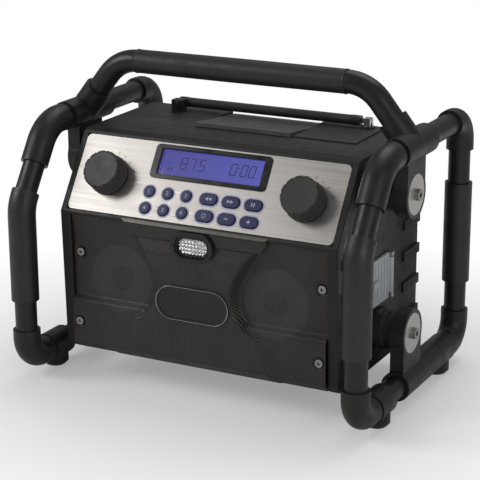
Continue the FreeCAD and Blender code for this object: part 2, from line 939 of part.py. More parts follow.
def front_shell():
    """The front cabinet's outer form and its hollow."""
    body = doc.addObject("PartDesign::Body", "FrontShell")
    foot_y = "panel_y - panel_frame * sin(panel_lean)"
    foot_z = "panel_z - panel_frame * cos(panel_lean)"
    outline = [
        ("front_face + toe_depth", "body_bottom"),
        ("front_face", "body_bottom + toe_rise"),
        (foot_y, foot_z),
        (f"{HEAD_Y} + panel_frame * sin(panel_lean)", f"{HEAD_Z} + panel_frame * cos(panel_lean)"),
        (DECK_FRONT, "deck_height"),
        (DECK_FRONT, SHELL_TOP),
        ("body_seam", SHELL_TOP),
        ("body_seam", "body_bottom"),
    ]
    slab(body, "body_width", outline)
    side_ribs(body, "front_wall", "front_wall + front_rib_length")
    inner_y = "(front_wall + wall)"
    rise = f"({inner_y} - panel_y - {BACKING} * cos(panel_lean)) / tan(panel_lean)"
    low_z = f"panel_z - {BACKING} * sin(panel_lean) + {rise}"
    run = f"({SHELL_TOP} - panel_z + {BACKING} * sin(panel_lean)) * tan(panel_lean)"
    high_y = f"panel_y + {BACKING} * cos(panel_lean) + {run}"
    hollow = [
        (inner_y, "body_bottom + wall"),
        (inner_y, low_z),
        (high_y, SHELL_TOP),
        ("body_seam + overrun", SHELL_TOP),
        ("body_seam + overrun", "body_bottom + wall"),
    ]
    slab(body, "body_width - 2 * wall", hollow, cutting=True)
    return body


def panel_box(width, height, depth, across, along, out):
    """A block on the panel, centred across and along, that starts at a depth."""
    block = doc.addObject("Part::Box", "Block")
    bind(block, "Length", width)
    bind(block, "Width", height)
    bind(block, "Height", depth)
    x = f"({across}) - ({width}) / 2"
    return on_panel(block, x, f"({along}) - ({height}) / 2", out)


def panel_round(radius, depth, across, along, out):
    bar = doc.addObject("Part::Cylinder", "Bar")
    bind(bar, "Radius", radius)
    bind(bar, "Height", depth)
    return on_panel(bar, across, along, out)


KEY_ROWS = ("key_low_row + key_row_pitch", "key_low_row")
KEY_MIDDLE = "key_low_row + key_row_pitch / 2"
DIAL_X = {side: f"{side} * dial_spacing / 2" for side in SIDES}


def panel_openings():
    """The seat of the plate, and the holes behind it for display, keys and dials."""
    seat_depth = "plate_thickness + 2 * plate_clearance"
    seat_width = "plate_width + 2 * plate_clearance"
    seat_length = "panel_length + 2 * plate_clearance"
    depth = f"({BACKING} + 2 * overrun)"
    start = f"-{depth} - plate_thickness"
    high = "key_row_pitch + key_diameter + key_mat_margin"
    made = [
        panel_box(seat_width, seat_length, seat_depth, "0", "panel_length / 2", "-plate_thickness"),
        panel_box(
            "window_width + 2 * display_gap", "window_height + 2 * display_gap", f"{depth} + 2 * overrun",
            "0", "display_centre", start),
        panel_box(
            "key_mat_width + 2 * display_gap", high, "board_depth + overrun",
            "0", KEY_MIDDLE, "-board_depth"),
    ]
    for side in SIDES:
        radius = "shaft_diameter / 2 + shaft_hole_gap"
        made.append(panel_round(radius, f"{depth} + 2 * overrun", DIAL_X[side], "dial_centre", start))
    return made


def front_openings():
    """The grille's recess, the speaker holes and the lamp's hole."""
    recess = "(grille_width + 2 * fit_clearance)"
    face = "(grille_centre - recess_reach)"
    tall = "grille_top + fit_clearance - recess_low"
    made = [box(recess, f"front_wall - {face}", tall, f"-{recess} / 2", face, "recess_low")]
    for side in SIDES:
        hole_x = f"{side} * speaker_spacing / 2"
        depth = "wall + 2 * overrun"
        start = "front_wall - overrun"
        made.append(cylinder("speaker_opening / 2", depth, hole_x, start, "speaker_height", "y"))
    wide = "(lamp_width - lamp_height)"
    high = "(lamp_height - 2 * lamp_step)"
    low = f"lamp_centre - {high} / 2"
    made.append(box(wide, "wall + 4 * overrun", high, f"-{wide} / 2", "front_wall - 2 * overrun", low))
    return made


def build_front_cabinet():
    """The shell with its bosses, and every opening that its pieces need."""
    bosses = []
    openings = panel_openings() + front_openings()
    drill = "bolt_diameter / 2 + bolt_clearance"
    for side in SIDES:
        for z in MOUNT_HEIGHTS:
            bosses.append(crosswise(side, "boss_diameter / 2", "body_width / 2", BOSS_FACE, "handle_y", z))
            openings.append(crosswise(side, drill, "body_width / 2 - drill_depth", BOSS_FACE, "handle_y", z))
    start = "body_width / 2 - wall - overrun"
    wide = "door_width - 2 * door_lap"
    high = "door_height - 2 * door_lap"
    openings.append(box("wall + 2 * overrun", wide, high, start, "door_y + door_lap", "door_z + door_lap"))
    name(cut(fuse([front_shell()] + bosses), fuse(openings)), "front_cabinet")


def rear_openings():
    """The notch for the deck's channel, the battery opening and the door's seat."""
    notch = box(
        f"({CHANNEL_WIDE} + overrun)", "body_back", "2 * channel_depth", f"-({CHANNEL_WIDE} + overrun) / 2",
        "body_seam - overrun", CHANNEL_LOW)
    bay = "(battery_width + 2 * wall + 2 * fit_clearance)"
    tall = "battery_height + 2 * wall + 2 * fit_clearance"
    low = "battery_floor - wall - fit_clearance"
    opening = box(bay, "2 * bay_opening", tall, f"-{bay} / 2", "body_back - bay_opening", low)
    flat = "(battery_width + 2 * battery_door_margin + 2 * door_seat_margin)"
    high = "battery_height + 2 * battery_door_margin + 3 * door_seat_margin"
    seat_low = "battery_floor - battery_door_margin - 2 * door_seat_margin"
    seat = box(flat, "back_bevel", high, f"-{flat} / 2", "body_back", seat_low)
    return [notch, opening, seat]


def build_rear_cabinet():
    """The rear shell, ribbed, with a battery opening and a notch for the channel."""
    body = doc.addObject("PartDesign::Body", "RearShell")
    outline = [
        ("body_seam", "body_bottom"),
        ("body_back - back_bevel", "body_bottom"),
        ("body_back", "body_bottom + back_bevel"),
        ("body_back", "deck_height - back_slope_height"),
        ("deck_back", SHELL_TOP),
        ("body_seam", SHELL_TOP),
    ]
    slab(body, "body_width", outline)
    side_ribs(body, "body_seam + rear_rib_start", "body_back + rib_height")
    hollow = [
        ("body_seam - overrun", "body_bottom + wall"),
        ("body_back - back_bevel - wall / 2", "body_bottom + wall"),
        ("body_back - wall", "body_bottom + back_bevel + wall / 2"),
        ("body_back - wall", "deck_height - back_slope_height - wall / 2"),
        ("deck_back - wall / 2", f"{SHELL_TOP} - wall"),
        ("body_seam - overrun", f"{SHELL_TOP} - wall"),
    ]
    slab(body, "body_width - 2 * wall", hollow, cutting=True)
    name(cut(body, fuse(rear_openings())), "rear_cabinet")


def build_deck():
    """The deck with its sloping channel and the pocket under the hatch cover."""
    front = f"({DECK_FRONT} + deck_gap)"
    plate = box("body_width", f"deck_back - {front}", "deck_thickness", "-body_width / 2", front, SHELL_TOP)
    high = f"{SHELL_TOP} - {CHANNEL_LOW}"
    start = "lid_front - wall"
    block = box(CHANNEL_WIDE, f"deck_back - ({start})", high, f"-{CHANNEL_WIDE} / 2", start, CHANNEL_LOW)
    tray = "(pocket_width + 2 * wall)"
    tray_y = "(lid_front + pocket_start - wall)"
    pocket_low = "(deck_height - pocket_depth - wall)"
    tall = f"{CHANNEL_LOW} - {pocket_low} + overrun"
    tray_box = box(tray, "pocket_length + 2 * wall", tall, f"-{tray} / 2", tray_y, pocket_low)
    wide = "(lid_width + 2 * channel_gap)"
    channel = box(
        wide, "2 * lid_length", "2 * channel_depth", f"-{wide} / 2", "lid_front - channel_gap", "deck_height",
        (1, 0, 0), "-lid_slope")
    hollow = box(
        "pocket_width", "pocket_length", "2 * pocket_depth", "-pocket_width / 2", f"{tray_y} + wall",
        f"{pocket_low} + wall")
    stem = cylinder("swivel_stem / 2 + stem_gap", "4 * deck_thickness", "antenna_x", "antenna_y",
                    "deck_height - 2 * deck_thickness")
    name(cut(fuse([plate, block, tray_box]), fuse([channel, hollow, stem])), "top_deck")


def build_lid():
    """The hatch cover: a plate with fine cross ribs, on the channel's slope."""
    body = new_body("hatch_cover")
    sketch = sketch_on(body, "XY_Plane", "slide_clearance")
    rectangle(sketch, "lid_width", "lid_length", "0", "lid_length / 2")
    pad(body, sketch, "lid_thickness")
    groove = sketch_on(body, "XY_Plane", "slide_clearance + lid_thickness")
    rectangle(groove, "lid_width - lid_rim", "lid_groove_width", "0", "lid_groove_start")
    first = pocket(body, groove, "lid_groove_width / 2")
    span = "lid_length - lid_groove_start - lid_groove_margin"
    rows(body, first, "Y_Axis", span, int(size("lid_grooves")))
    place(body, "0", "lid_front", "deck_height", (1, 0, 0), "-lid_slope")


# Control panel
def rounded_plate(body, sketch_offset, width, height, thickness, corner, along):
    """A plate with rounded corners, padded outwards from the panel."""
    sketch = sketch_on(body, "XY_Plane", sketch_offset)
    rectangle(sketch, width, height, "0", along)
    feature = pad(body, sketch, thickness)
    feature.recompute(True)
    rounding = body.newObject("PartDesign::Fillet", "Rounding")
    rounding.Base = (feature, upright_edges(feature.Shape))
    bind(rounding, "Radius", corner)
    return rounding


def upright_edges(solid):
    """Names of the edges that run along the local Z axis."""
    names = []
    for index, edge in enumerate(solid.Edges, start=1):
        direction = edge.Vertexes[-1].Point - edge.Vertexes[0].Point
        if direction.Length > TINY and direction.Length - abs(direction.z) < TINY:
            names.append(f"Edge{index}")
    return names


def top_edges(solid):
    """Names of the edges that lie in the topmost plane."""
    high = solid.BoundBox.ZMax
    numbered = enumerate(solid.Edges, start=1)
    return [f"Edge{index}" for index, edge in numbered if high - edge.BoundBox.ZMin < TINY]


def round_key_x(index):
    return f"round_first + round_pitch * {index % KEYS_IN_ROW}"


def oval_key_x(index):
    return f"oval_first + oval_pitch * {index % KEYS_IN_ROW}"


def build_plate():
    """The brushed plate and its openings."""
    body = new_body("fascia_plate")
    rounded_plate(
        body, "-plate_thickness", "plate_width", "panel_length", "plate_thickness", "plate_corner",
        "panel_length / 2")
    through = "plate_thickness + overrun"
    window = sketch_on(body, "XY_Plane")
    wide = "display_width - 2 * display_lap"
    rectangle(window, wide, "display_height - 2 * display_lap", "0", "display_centre")
    for side in SIDES:
        circle(window, "shaft_diameter / 2 + overrun", DIAL_X[side], "dial_centre")
    pocket(body, window, through)
    for row in KEY_ROWS:
        round_hole = sketch_on(body, "XY_Plane")
        circle(round_hole, "key_diameter / 2 + key_clearance", round_key_x(0), row)
        rows(body, pocket(body, round_hole, through), "X_Axis", "2 * round_pitch", KEYS_IN_ROW)
        oval_hole = sketch_on(body, "XY_Plane")
        width = "key_width + 2 * key_clearance"
        stadium(oval_hole, width, "key_diameter + 2 * key_clearance", oval_key_x(0), row)
        rows(body, pocket(body, oval_hole, through), "X_Axis", "2 * oval_pitch", KEYS_IN_ROW)
    on_panel(body)


def build_display():
    """The dark display frame, its window and the lit module behind it."""
    frame = new_body("display_frame")
    thick = "display_stand"
    rounded_plate(frame, "0", "display_width", "display_height", thick, "display_corner", "display_centre")
    neck = sketch_on(frame, "XY_Plane", "-plate_thickness")
    inset = "2 * (display_lap + neck_gap)"
    rectangle(neck, f"display_width - {inset}", f"display_height - {inset}", "0", "display_centre")
    pad(frame, neck, "plate_thickness")
    window = sketch_on(frame, "XY_Plane", "display_stand")
    rectangle(window, "window_width", "window_height", "0", "display_centre")
    pocket(frame, window, "display_stand + plate_thickness + overrun")
    on_panel(frame)
    level = "display_stand - lens_sink - lens_thickness"
    wide = "window_width - 2 * lens_gap"
    high = "window_height - 2 * lens_gap"
    name(panel_box(wide, high, "lens_thickness", "0", "display_centre", level), "display_lens")
    wide = "window_width + 2 * module_lap"
    high = "window_height + 2 * module_lap"
    deep = "board_depth - plate_thickness"
    name(panel_box(wide, high, deep, "0", "display_centre", "-board_depth"), "lcd_module")


def build_key(label, across, along, oval):
    """One key: a cap through the plate with a flange that holds it in."""
    body = new_body(label)
    base = "(plate_thickness + key_travel + key_gap)"
    flange = sketch_on(body, "XY_Plane", f"-{base}")
    cap = sketch_on(body, "XY_Plane", f"key_flange_thickness - {base}")
    if oval:
        stadium(flange, "key_width + 2 * key_flange", "key_diameter + 2 * key_flange")
        stadium(cap, "key_width", "key_diameter")
    else:
        circle(flange, "key_diameter / 2 + key_flange")
        circle(cap, "key_diameter / 2")
    pad(body, flange, "key_flange_thickness")
    top = pad(body, cap, f"{base} - key_flange_thickness + key_height")
    top.recompute(True)
    rounding = body.newObject("PartDesign::Fillet", "Rim")
    rounding.Base = (top, top_edges(top.Shape))
    bind(rounding, "Radius", "key_edge")
    on_panel(body, across, along)


def build_keys():
    for index in range(len(KEY_ROWS) * KEYS_IN_ROW):
        row = KEY_ROWS[index // KEYS_IN_ROW]
        build_key(f"preset_key_{index + 1}", round_key_x(index), row, oval=False)
        build_key(f"mode_key_{index + 1}", oval_key_x(index), row, oval=True)
    thick = "board_depth - plate_thickness - 2 * key_travel - 2 * key_gap"
    high = "key_row_pitch + key_diameter + overrun"
    name(panel_box("key_mat_width", high, thick, "0", KEY_MIDDLE, "-board_depth"), "key_mat")


def build_dial(side, knob_label, shaft_label):
    """A notched dial on a shaft; the shaft is pushed, the dial turns on it."""
    body = new_body(knob_label)
    outline = sketch_on(body, "XZ_Plane")
    bore = "shaft_diameter / 2 + shaft_clearance"
    skirt = "dial_diameter / 2 + dial_skirt"
    points = [
        (bore, "dial_gap"),
        (skirt, "dial_gap"),
        (skirt, "dial_gap + dial_skirt_height"),
        ("dial_diameter / 2", "dial_gap + dial_skirt_height + dial_skirt"),
        ("dial_diameter / 2 - dial_taper", "dial_height - dial_edge"),
        ("dial_diameter / 2 - dial_taper - dial_edge", "dial_height"),
        ("0", "dial_height"),
        ("0", "dial_height - dial_face"),
        (bore, "dial_height - dial_face"),
    ]
    polygon(outline, points)
    revolve(body, outline)
    notch = sketch_on(body, "XY_Plane", "dial_height - dial_notch_length")
    circle(notch, "dial_notch", "dial_diameter / 2 + dial_notch / 2")
    round_row(body, pocket(body, notch, "dial_height", back=True), "dial_notches")
    on_panel(body, DIAL_X[side], "dial_centre")
    foot = "(board_depth - dial_travel - shaft_end_gap)"
    length = f"{foot} + dial_height - dial_face - shaft_clearance"
    name(panel_round("shaft_diameter / 2", length, DIAL_X[side], "dial_centre", f"-{foot}"), shaft_label)


def build_board():
    """The circuit board behind the panel, with the two dial encoders on it."""
    wide = "plate_width - 2 * board_margin"
    high = "panel_length - board_trim"
    low = "-board_depth - board_thickness"
    parts = [panel_box(wide, high, "board_thickness", "0", "panel_length / 2", low)]
    for side in SIDES:
        case_high = f"board_depth - {BACKING} - encoder_gap"
        case = panel_box(
            "encoder_width", "encoder_width", case_high, DIAL_X[side], "dial_centre", "-board_depth")
        bore = "shaft_diameter / 2 + shaft_clearance"
        parts.append(cut(case, panel_round(bore, "board_depth", DIAL_X[side], "dial_centre", "-board_depth")))
        for along in ("post_low", "panel_length - post_low / 2"):
            across = f"{side} * (plate_width / 2 - post_low)"
            tall = f"board_depth - {BACKING}"
            parts.append(panel_round("post_radius", tall, across, along, "-board_depth"))
    name(group(parts), "circuit_board")


# Front of the cabinet
BACKWARD = Vector(0, 1, 0)
ALL_ACROSS = Vector(size("grille_width"), 0, 0)


def side_slab(points):
    """A side outline of depth and height pairs, carried across the grille."""
    corners = [Vector(-size("grille_width") / 2, y, z) for y, z in points]
    return Part.Face(Part.makePolygon(corners + corners[:1])).extrude(ALL_ACROSS)


def front_outline(points, y):
    """A closed outline in a plane that faces front."""
    corners = [Vector(x, y, z) for x, z in points]
    return Part.makePolygon(corners + corners[:1])


def raised(points, back, front):
    """A raised area whose edge slopes in as it stands out."""
    low = front_outline(points, back)
    inner = front_outline(points, front).makeOffset2D(-abs(back - front) * size("centre_slope"), 2)
    return Part.makeLoft([low, inner], True, True)


def grille_foot():
    return size("body_bottom") + size("grille_lift")


def around_speaker(side):
    """The raised centre's edge on one side, curved round the speaker."""
    x = size("speaker_spacing") / 2
    z = size("speaker_height")
    radius = size("speaker_opening") / 2 + size("speaker_land")
    points = [(x + size("centre_foot"), grille_foot())]
    first, last, step = (int(size(alias)) for alias in ("curve_start", "curve_stop", "curve_step"))
    for degrees in range(first, last + 1, step):
        turn = math.radians(degrees)
        points.append((x - radius * math.cos(turn), z + radius * math.sin(turn)))
    points.append((x - size("centre_waist"), size("lamp_centre") - size("centre_waist_drop")))
    points.append((x - size("visor_inset"), size("grille_top")))
    return [(side * across, up) for across, up in points]


def screw_face(z):
    """Depth of the sheet's face at a screw's height, above or below the ledge."""
    return size("grille_side") if z > size("ledge_height") else size("grille_low")


def screw_spots():
    return [(side * size("screw_x"), z) for side in SIDES for z in (size("screw_low"), size("screw_high"))]


def screw_dish(x, z):
    """A round dish that narrows from the sheet's face to the screw's seat."""
    floor_r = size("screw_diameter") / 2 + size("screw_dish_land")
    depth = size("screw_dish")
    return Part.makeCone(floor_r + depth, floor_r, depth, Vector(x, screw_face(z), z), BACKWARD)


def grille_relief(shift):
    """The pressed front as a solid height field, moved back by a distance."""
    low = grille_foot()
    top = size("grille_top")
    back = size("front_wall") + size("overrun") * 2
    side_y = size("grille_side")
    low_y = size("grille_low")
    half_step = size("ledge_half")
    ledge = size("ledge_height")
    brow_z = size("lamp_centre") - size("brow_drop")
    base = side_slab([
        (back, low), (side_y, low), (low_y, low + size("grille_toe")), (low_y, ledge - half_step),
        (side_y, ledge + half_step), (side_y, brow_z), (size("grille_brow"), top), (back, top),
    ])
    front = size("grille_centre")
    ahead = front - size("overrun")
    centre = raised(around_speaker(-1) + around_speaker(1)[::-1], side_y + half_step, front)
    visor_y = size("visor_back")
    visor_z = size("visor_low")
    slope_z = visor_z - size("visor_slope")
    above = top + size("overrun")
    bevel = side_slab([
        (ahead, slope_z), (front, slope_z), (visor_y, visor_z), (visor_y, above), (ahead, above),
    ])
    toe = size("centre_toe")
    chamfer = side_slab([(ahead, low), (front + toe, low), (front, low + toe), (ahead, low + toe)])
    solid = base.fuse(centre).cut(bevel).cut(chamfer)
    solid = solid.cut([screw_dish(x, z) for x, z in screw_spots()]).removeSplitter()
    solid.translate(BACKWARD * shift)
    return solid


def stadium_bar(width, height, centre_z, front, back):
    """A flattened round bar that runs front to back."""
    reach = (width - height) / 2
    run = BACKWARD * (back - front)
    bars = []
    for x in (-reach, reach):
        bars.append(Part.makeCylinder(height / 2, run.Length, Vector(x, front, centre_z), run))
    middle = Part.makeBox(2 * reach, run.Length, height, Vector(-reach, front, centre_z - height / 2))
    return bars[0].fuse([bars[1], middle]).removeSplitter()


def lamp_bar(front, back):
    """The clear way round the lamp's bezel between two depths."""
    margin = 2 * (size("lamp_rim") + size("lamp_gap"))
    wide = size("lamp_width") + margin
    return stadium_bar(wide, size("lamp_height") + margin, size("lamp_centre"), front, back)


def build_grille():
    """The pressed sheet, open for the lamp and drilled at its screws."""
    solid = grille_relief(0).cut(grille_relief(size("grille_sheet")))
    ahead = size("lamp_front") - size("recess_reach")
    solid = solid.cut(lamp_bar(ahead, size("front_wall") + size("overrun")))
    radius = size("screw_shank") / 2 + size("lamp_gap")
    length = size("front_wall") - ahead
    for x, z in screw_spots():
        solid = solid.cut(Part.makeCylinder(radius, length, Vector(x, ahead, z), BACKWARD))
    shape("grille", solid)


def build_screws():
    """Hex-socket screws in the dishes, with spacers onto the front wall."""
    made = []
    wall_y = size("front_wall")
    head_r = size("screw_diameter") / 2
    tall = size("screw_head")
    for x, z in screw_spots():
        seat = screw_face(z) + size("screw_dish")
        back = seat + size("grille_sheet")
        top = seat - tall
        head = Part.makeCylinder(head_r, tall, Vector(x, top, z), BACKWARD)
        shank = Part.makeCylinder(size("screw_shank") / 2, wall_y - seat, Vector(x, seat, z), BACKWARD)
        spacer = Part.makeCylinder(head_r, wall_y - back, Vector(x, back, z), BACKWARD)
        key = Part.Face(hexagon(x, top, z, head_r / 2)).extrude(BACKWARD * (tall * size("screw_key_share")))
        made.append(head.fuse([shank, spacer]).cut(key).removeSplitter())
    shape("grille_screws", Part.makeCompound(made))


def hexagon(x, y, z, radius):
    turns = [math.pi / 3 * index for index in range(6)]
    return front_outline([(x + radius * math.cos(turn), z + radius * math.sin(turn)) for turn in turns], y)


def build_lamp():
    """Bezel with a reflector cup in it, and the clear lens in front."""
    wide = size("lamp_width")
    high = size("lamp_height")
    rim = 2 * size("lamp_rim")
    gap = size("lamp_gap")
    z = size("lamp_centre")
    front = size("lamp_front")
    back = size("front_wall")
    floor_y = back - size("wall")
    glass_front = front + size("lens_sink") * 2
    glass_back = glass_front + size("lamp_glass")
    bezel = stadium_bar(wide + rim, high + rim, z, front, back)
    bezel = bezel.cut(stadium_bar(wide, high, z, front, floor_y))
    mouth = glass_back + size("cup_gap")
    cup = stadium_bar(wide - 2 * gap, high - 2 * gap, z, mouth, floor_y)
    hollow = stadium_bar(wide - rim, high - rim, z, mouth, floor_y - size("cup_floor"))
    shape("lamp_housing", Part.makeCompound([bezel, cup.cut(hollow)]))
    shape("lamp_lens", stadium_bar(wide - gap, high - gap, z, glass_front, glass_back))


def build_strip():
    """The lip under the plate, narrower towards its lower edge."""
    strip = doc.addObject("PartDesign::Body", "Strip")
    edge = sketch_on(strip, "XY_Plane")
    half = "strip_width / 2"
    taper = f"({half} - panel_frame)"
    low = "-plate_lip"
    high = "strip_gap - panel_frame"
    polygon(edge, [(f"-{taper}", low), (taper, low), (half, high), (f"-{half}", high)])
    pad(strip, edge, "strip_thickness")
    on_panel(strip)
    return strip


def build_visor():
    """The smooth band under the panel, cut round the lamp, and the lip above it."""
    top = size("grille_top") + size("lamp_gap")
    low = size("visor_low")
    half = size("speaker_spacing") / 2 - size("visor_inset")
    low_half = half - size("visor_taper")
    back = size("visor_back")
    front = back - size("visor_depth")
    outline = front_outline([(-half, top), (half, top), (low_half, low), (-low_half, low)], front)
    band = Part.Face(outline).extrude(BACKWARD * (back - front))
    feature = doc.addObject("Part::Feature", "Band")
    feature.Shape = band.cut(lamp_bar(front - size("overrun"), back + size("overrun")))
    name(group([feature, build_strip()]), "lamp_visor")


def build_badge():
    """A bare oval badge on the raised centre, with a raised rim."""
    face = size("grille_centre")
    front = face - size("badge_stand")
    wide = size("badge_width")
    high = size("badge_height")
    rim = 2 * size("badge_rim")
    z = size("badge_centre")
    plate = stadium_bar(wide, high, z, front, face)
    inner = stadium_bar(wide - rim, high - rim, z, front, front + size("badge_sink"))
    shape("name_badge", plate.cut(inner))


def build_speakers():
    """Two speakers behind the front wall: baskets with magnets, and cones."""
    baskets = []
    cones = []
    for side in SIDES:
        for outline, made in ((basket_outline(), baskets), (cone_outline(), cones)):
            body = doc.addObject("PartDesign::Body", "Speaker")
            sketch = sketch_on(body, "XZ_Plane")
            polygon(sketch, outline)
            revolve(body, sketch)
            x = f"{side} * speaker_spacing / 2"
            place(body, x, "front_wall + wall", "speaker_height", (1, 0, 0), "-90")
            made.append(body)
    name(group(baskets), "speaker_baskets")
    name(group(cones), "speaker_cones")


MAGNET_FRONT = "(speaker_depth - magnet_depth)"
BASKET_FLOOR = f"({MAGNET_FRONT} - basket_sheet)"
BASKET_MOUTH = "(speaker_opening / 2 - basket_lip)"
CAP_FRONT = f"({BASKET_FLOOR} - cap_stand)"


def basket_outline():
    """Radius and depth behind the wall: flange, tapering basket, magnet."""
    return [
        ("speaker_flange / 2", "0"),
        ("speaker_flange / 2", "basket_flange"),
        ("speaker_opening / 2", "basket_flange"),
        ("basket_neck + basket_flange", f"{MAGNET_FRONT} - basket_lip"),
        ("magnet_radius", MAGNET_FRONT),
        ("magnet_radius", "speaker_depth"),
        ("0", "speaker_depth"),
        ("0", BASKET_FLOOR),
        ("basket_neck", BASKET_FLOOR),
        (BASKET_MOUTH, "0"),
    ]


def cone_outline():
    """Roll surround, paper cone and dust cap, just inside the basket's hollow."""
    return [
        (f"{BASKET_MOUTH} - cone_gap", "0"), (f"{BASKET_MOUTH} - roll_width / 2", "-roll_height"),
        (f"{BASKET_MOUTH} - roll_width", "0"), ("cap_radius", f"{CAP_FRONT} + cap_height"),
        ("cap_radius / 2", f"{CAP_FRONT} + cap_height / 4"), ("0", CAP_FRONT), ("0", BASKET_FLOOR),
        ("basket_neck - cone_gap", BASKET_FLOOR),
    ]


# Battery on the back
BAY_START = "(body_back - battery_depth - wall)"
BATTERY_AXIS_Y = "(body_back + hinge_stand)"
BATTERY_AXIS_Z = "(battery_floor - battery_door_margin - battery_hinge_drop)"


def build_battery():
    """The bay and the pack in it."""
    wide = "(battery_width + 2 * wall + 2 * bay_gap)"
    tall = "battery_height + 2 * wall + 2 * bay_gap"
    low = "battery_floor - wall - bay_gap"
    shell = box(wide, "battery_depth + wall", tall, f"-{wide} / 2", BAY_START, low)
    clear = "(battery_width + 2 * bay_gap)"
    high = "battery_height + 2 * bay_gap"
    start = f"{BAY_START} + wall"
    inside = box(clear, "battery_depth + overrun", high, f"-{clear} / 2", start, "battery_floor - bay_gap")
    name(cut(shell, inside), "battery_bay")
    pack_length = "battery_depth - 2 * overrun"
    pack_y = f"{start} + bay_gap"
    pack = box("battery_width", pack_length, "battery_height", "-battery_width / 2", pack_y, "battery_floor")
    name(pack, "battery_pack")


def build_battery_door():
    """The ribbed battery door, hinged along its lower edge."""
    margin = "battery_door_margin"
    wide = f"(battery_width + 2 * {margin})"
    tall = f"battery_height + 2 * {margin}"
    low = f"battery_floor - {margin}"
    face = "(body_back + fit_clearance)"
    plate = box(wide, "door_thickness", tall, f"-{wide} / 2", face, low)
    barrel = "battery_width / 2"
    knuckle = cylinder(KNUCKLE_R, barrel, f"-{barrel} / 2", BATTERY_AXIS_Y, BATTERY_AXIS_Z, "x")
    web_y = f"{face} + 2 * fit_clearance"
    web_z = f"{low} - web_height + overrun"
    web = box(barrel, "door_thickness - 2 * fit_clearance", "web_height", f"-{barrel} / 2", web_y, web_z)
    hole = cylinder(HINGE_BORE, "battery_width", "-battery_width / 2", BATTERY_AXIS_Y, BATTERY_AXIS_Z, "x")
    rib_wide = "(battery_width - battery_rib_inset)"
    rib_y = f"{face} + door_thickness - door_rib_sink"
    ribs = []
    for index in range(BATTERY_RIBS):
        up = f"battery_floor + {index} * battery_height / {BATTERY_RIBS} + battery_rib_inset"
        ribs.append(box(rib_wide, "battery_rib_height", "battery_rib_inset", f"-{rib_wide} / 2", rib_y, up))
    name(cut(fuse([plate, knuckle, web] + ribs), hole), "battery_door")


# Side door over the sockets
SIDE_AXIS_X = "(body_width / 2 + hinge_stand)"
SIDE_AXIS_Y = "(door_y + door_width + hinge_offset)"
KNUCKLE_R = "hinge_pin / 2 + knuckle_wall"
HINGE_BORE = "hinge_pin / 2 + hinge_clearance"


def build_door_pins():
    """Hinge pins of the two doors, each in a pair of cabinet ears."""
    reach = "hinge_ear_reach"
    span = "(battery_width / 2 + 2 * hinge_ear)"
    parts = [cylinder("hinge_pin / 2", span, f"-{span} / 2", BATTERY_AXIS_Y, BATTERY_AXIS_Z, "x")]
    for side in SIDES:
        start = f"{side} * (battery_width / 4 + ear_setback) - battery_ear / 2"
        low = f"{BATTERY_AXIS_Z} - hinge_ear / 2"
        parts.append(box("battery_ear", reach, "hinge_ear", start, "body_back", low))
    side_parts = [cylinder("hinge_pin / 2", "door_height", SIDE_AXIS_X, SIDE_AXIS_Y, "door_z", "z")]
    for z in ("door_z", "door_z + door_height - hinge_ear"):
        ear_y = f"{SIDE_AXIS_Y} - hinge_ear / 2"
        side_parts.append(box(reach, "hinge_ear", "hinge_ear", "body_width / 2", ear_y, z))
    name(group([fuse(parts), fuse(side_parts)]), "door_pins")


DOOR_FACE = "(body_width / 2 + fit_clearance)"
DOOR_MIDDLE = "(door_z + door_height / 2)"


def door_ribs():
    """Upright ribs on the side door's face, evenly spread."""
    ribs = []
    high = "door_height - 2 * door_rib_margin"
    start = f"{DOOR_FACE} + side_plate - side_rib_sink"
    for index in range(DOOR_RIBS):
        share = f"{index} * (door_width - 2 * door_rib_margin) / {DOOR_RIBS - 1}"
        y = f"door_y + door_rib_margin + {share} - door_rib_width / 2"
        ribs.append(box("door_rib_height", "door_rib_width", high, start, y, "door_z + door_rib_margin"))
    return ribs


def build_side_door():
    """The ribbed side door with its knuckle, and its latch."""
    plate = box("side_plate", "door_width", "door_height", DOOR_FACE, "door_y", "door_z")
    ribs = door_ribs()
    barrel = "(door_height - 2 * knuckle_inset)"
    low = "door_z + knuckle_inset"
    knuckle = cylinder(KNUCKLE_R, barrel, SIDE_AXIS_X, SIDE_AXIS_Y, low, "z")
    web_y = "door_y + door_width - overrun"
    web = box("side_plate", "hinge_offset + overrun / 2", barrel, DOOR_FACE, web_y, low)
    hole = cylinder(HINGE_BORE, "door_height", SIDE_AXIS_X, SIDE_AXIS_Y, "door_z", "z")
    door = cut(fuse([plate, knuckle, web] + ribs), hole)
    latch_y = "door_y - latch_ahead"
    latch_z = f"{DOOR_MIDDLE} - latch_height / 2"
    latch = box("latch_depth", "latch_width", "latch_height", DOOR_FACE, latch_y, latch_z)
    tab_z = f"{DOOR_MIDDLE} - tab_height / 2"
    tab_x = f"{DOOR_FACE} + side_plate + overrun"
    tab = box("latch_depth - side_plate", "tab_length", "tab_height", tab_x, latch_y, tab_z)
    catch = cut(fuse([latch, tab]), plate)
    name(group([cut(door, tab), cut(catch, fuse(ribs))]), "side_door")


def socket(radius, bore, side):
    """A round socket on the recess's floor, to one side of its middle, and its hole."""
    y = f"door_y + door_width / 2 + {side} * socket_offset"
    z = f"{DOOR_MIDDLE} + {side} * socket_offset"
    barrel = cylinder(radius, "socket_length", TRAY_FLOOR, y, z, "x")
    hole = cylinder(bore, "socket_length + overrun", TRAY_FLOOR, y, z, "x")
    return barrel, hole


TRAY_START = "(body_width / 2 - wall - bay_gap - socket_recess - wall)"
TRAY_FLOOR = f"({TRAY_START} + wall)"


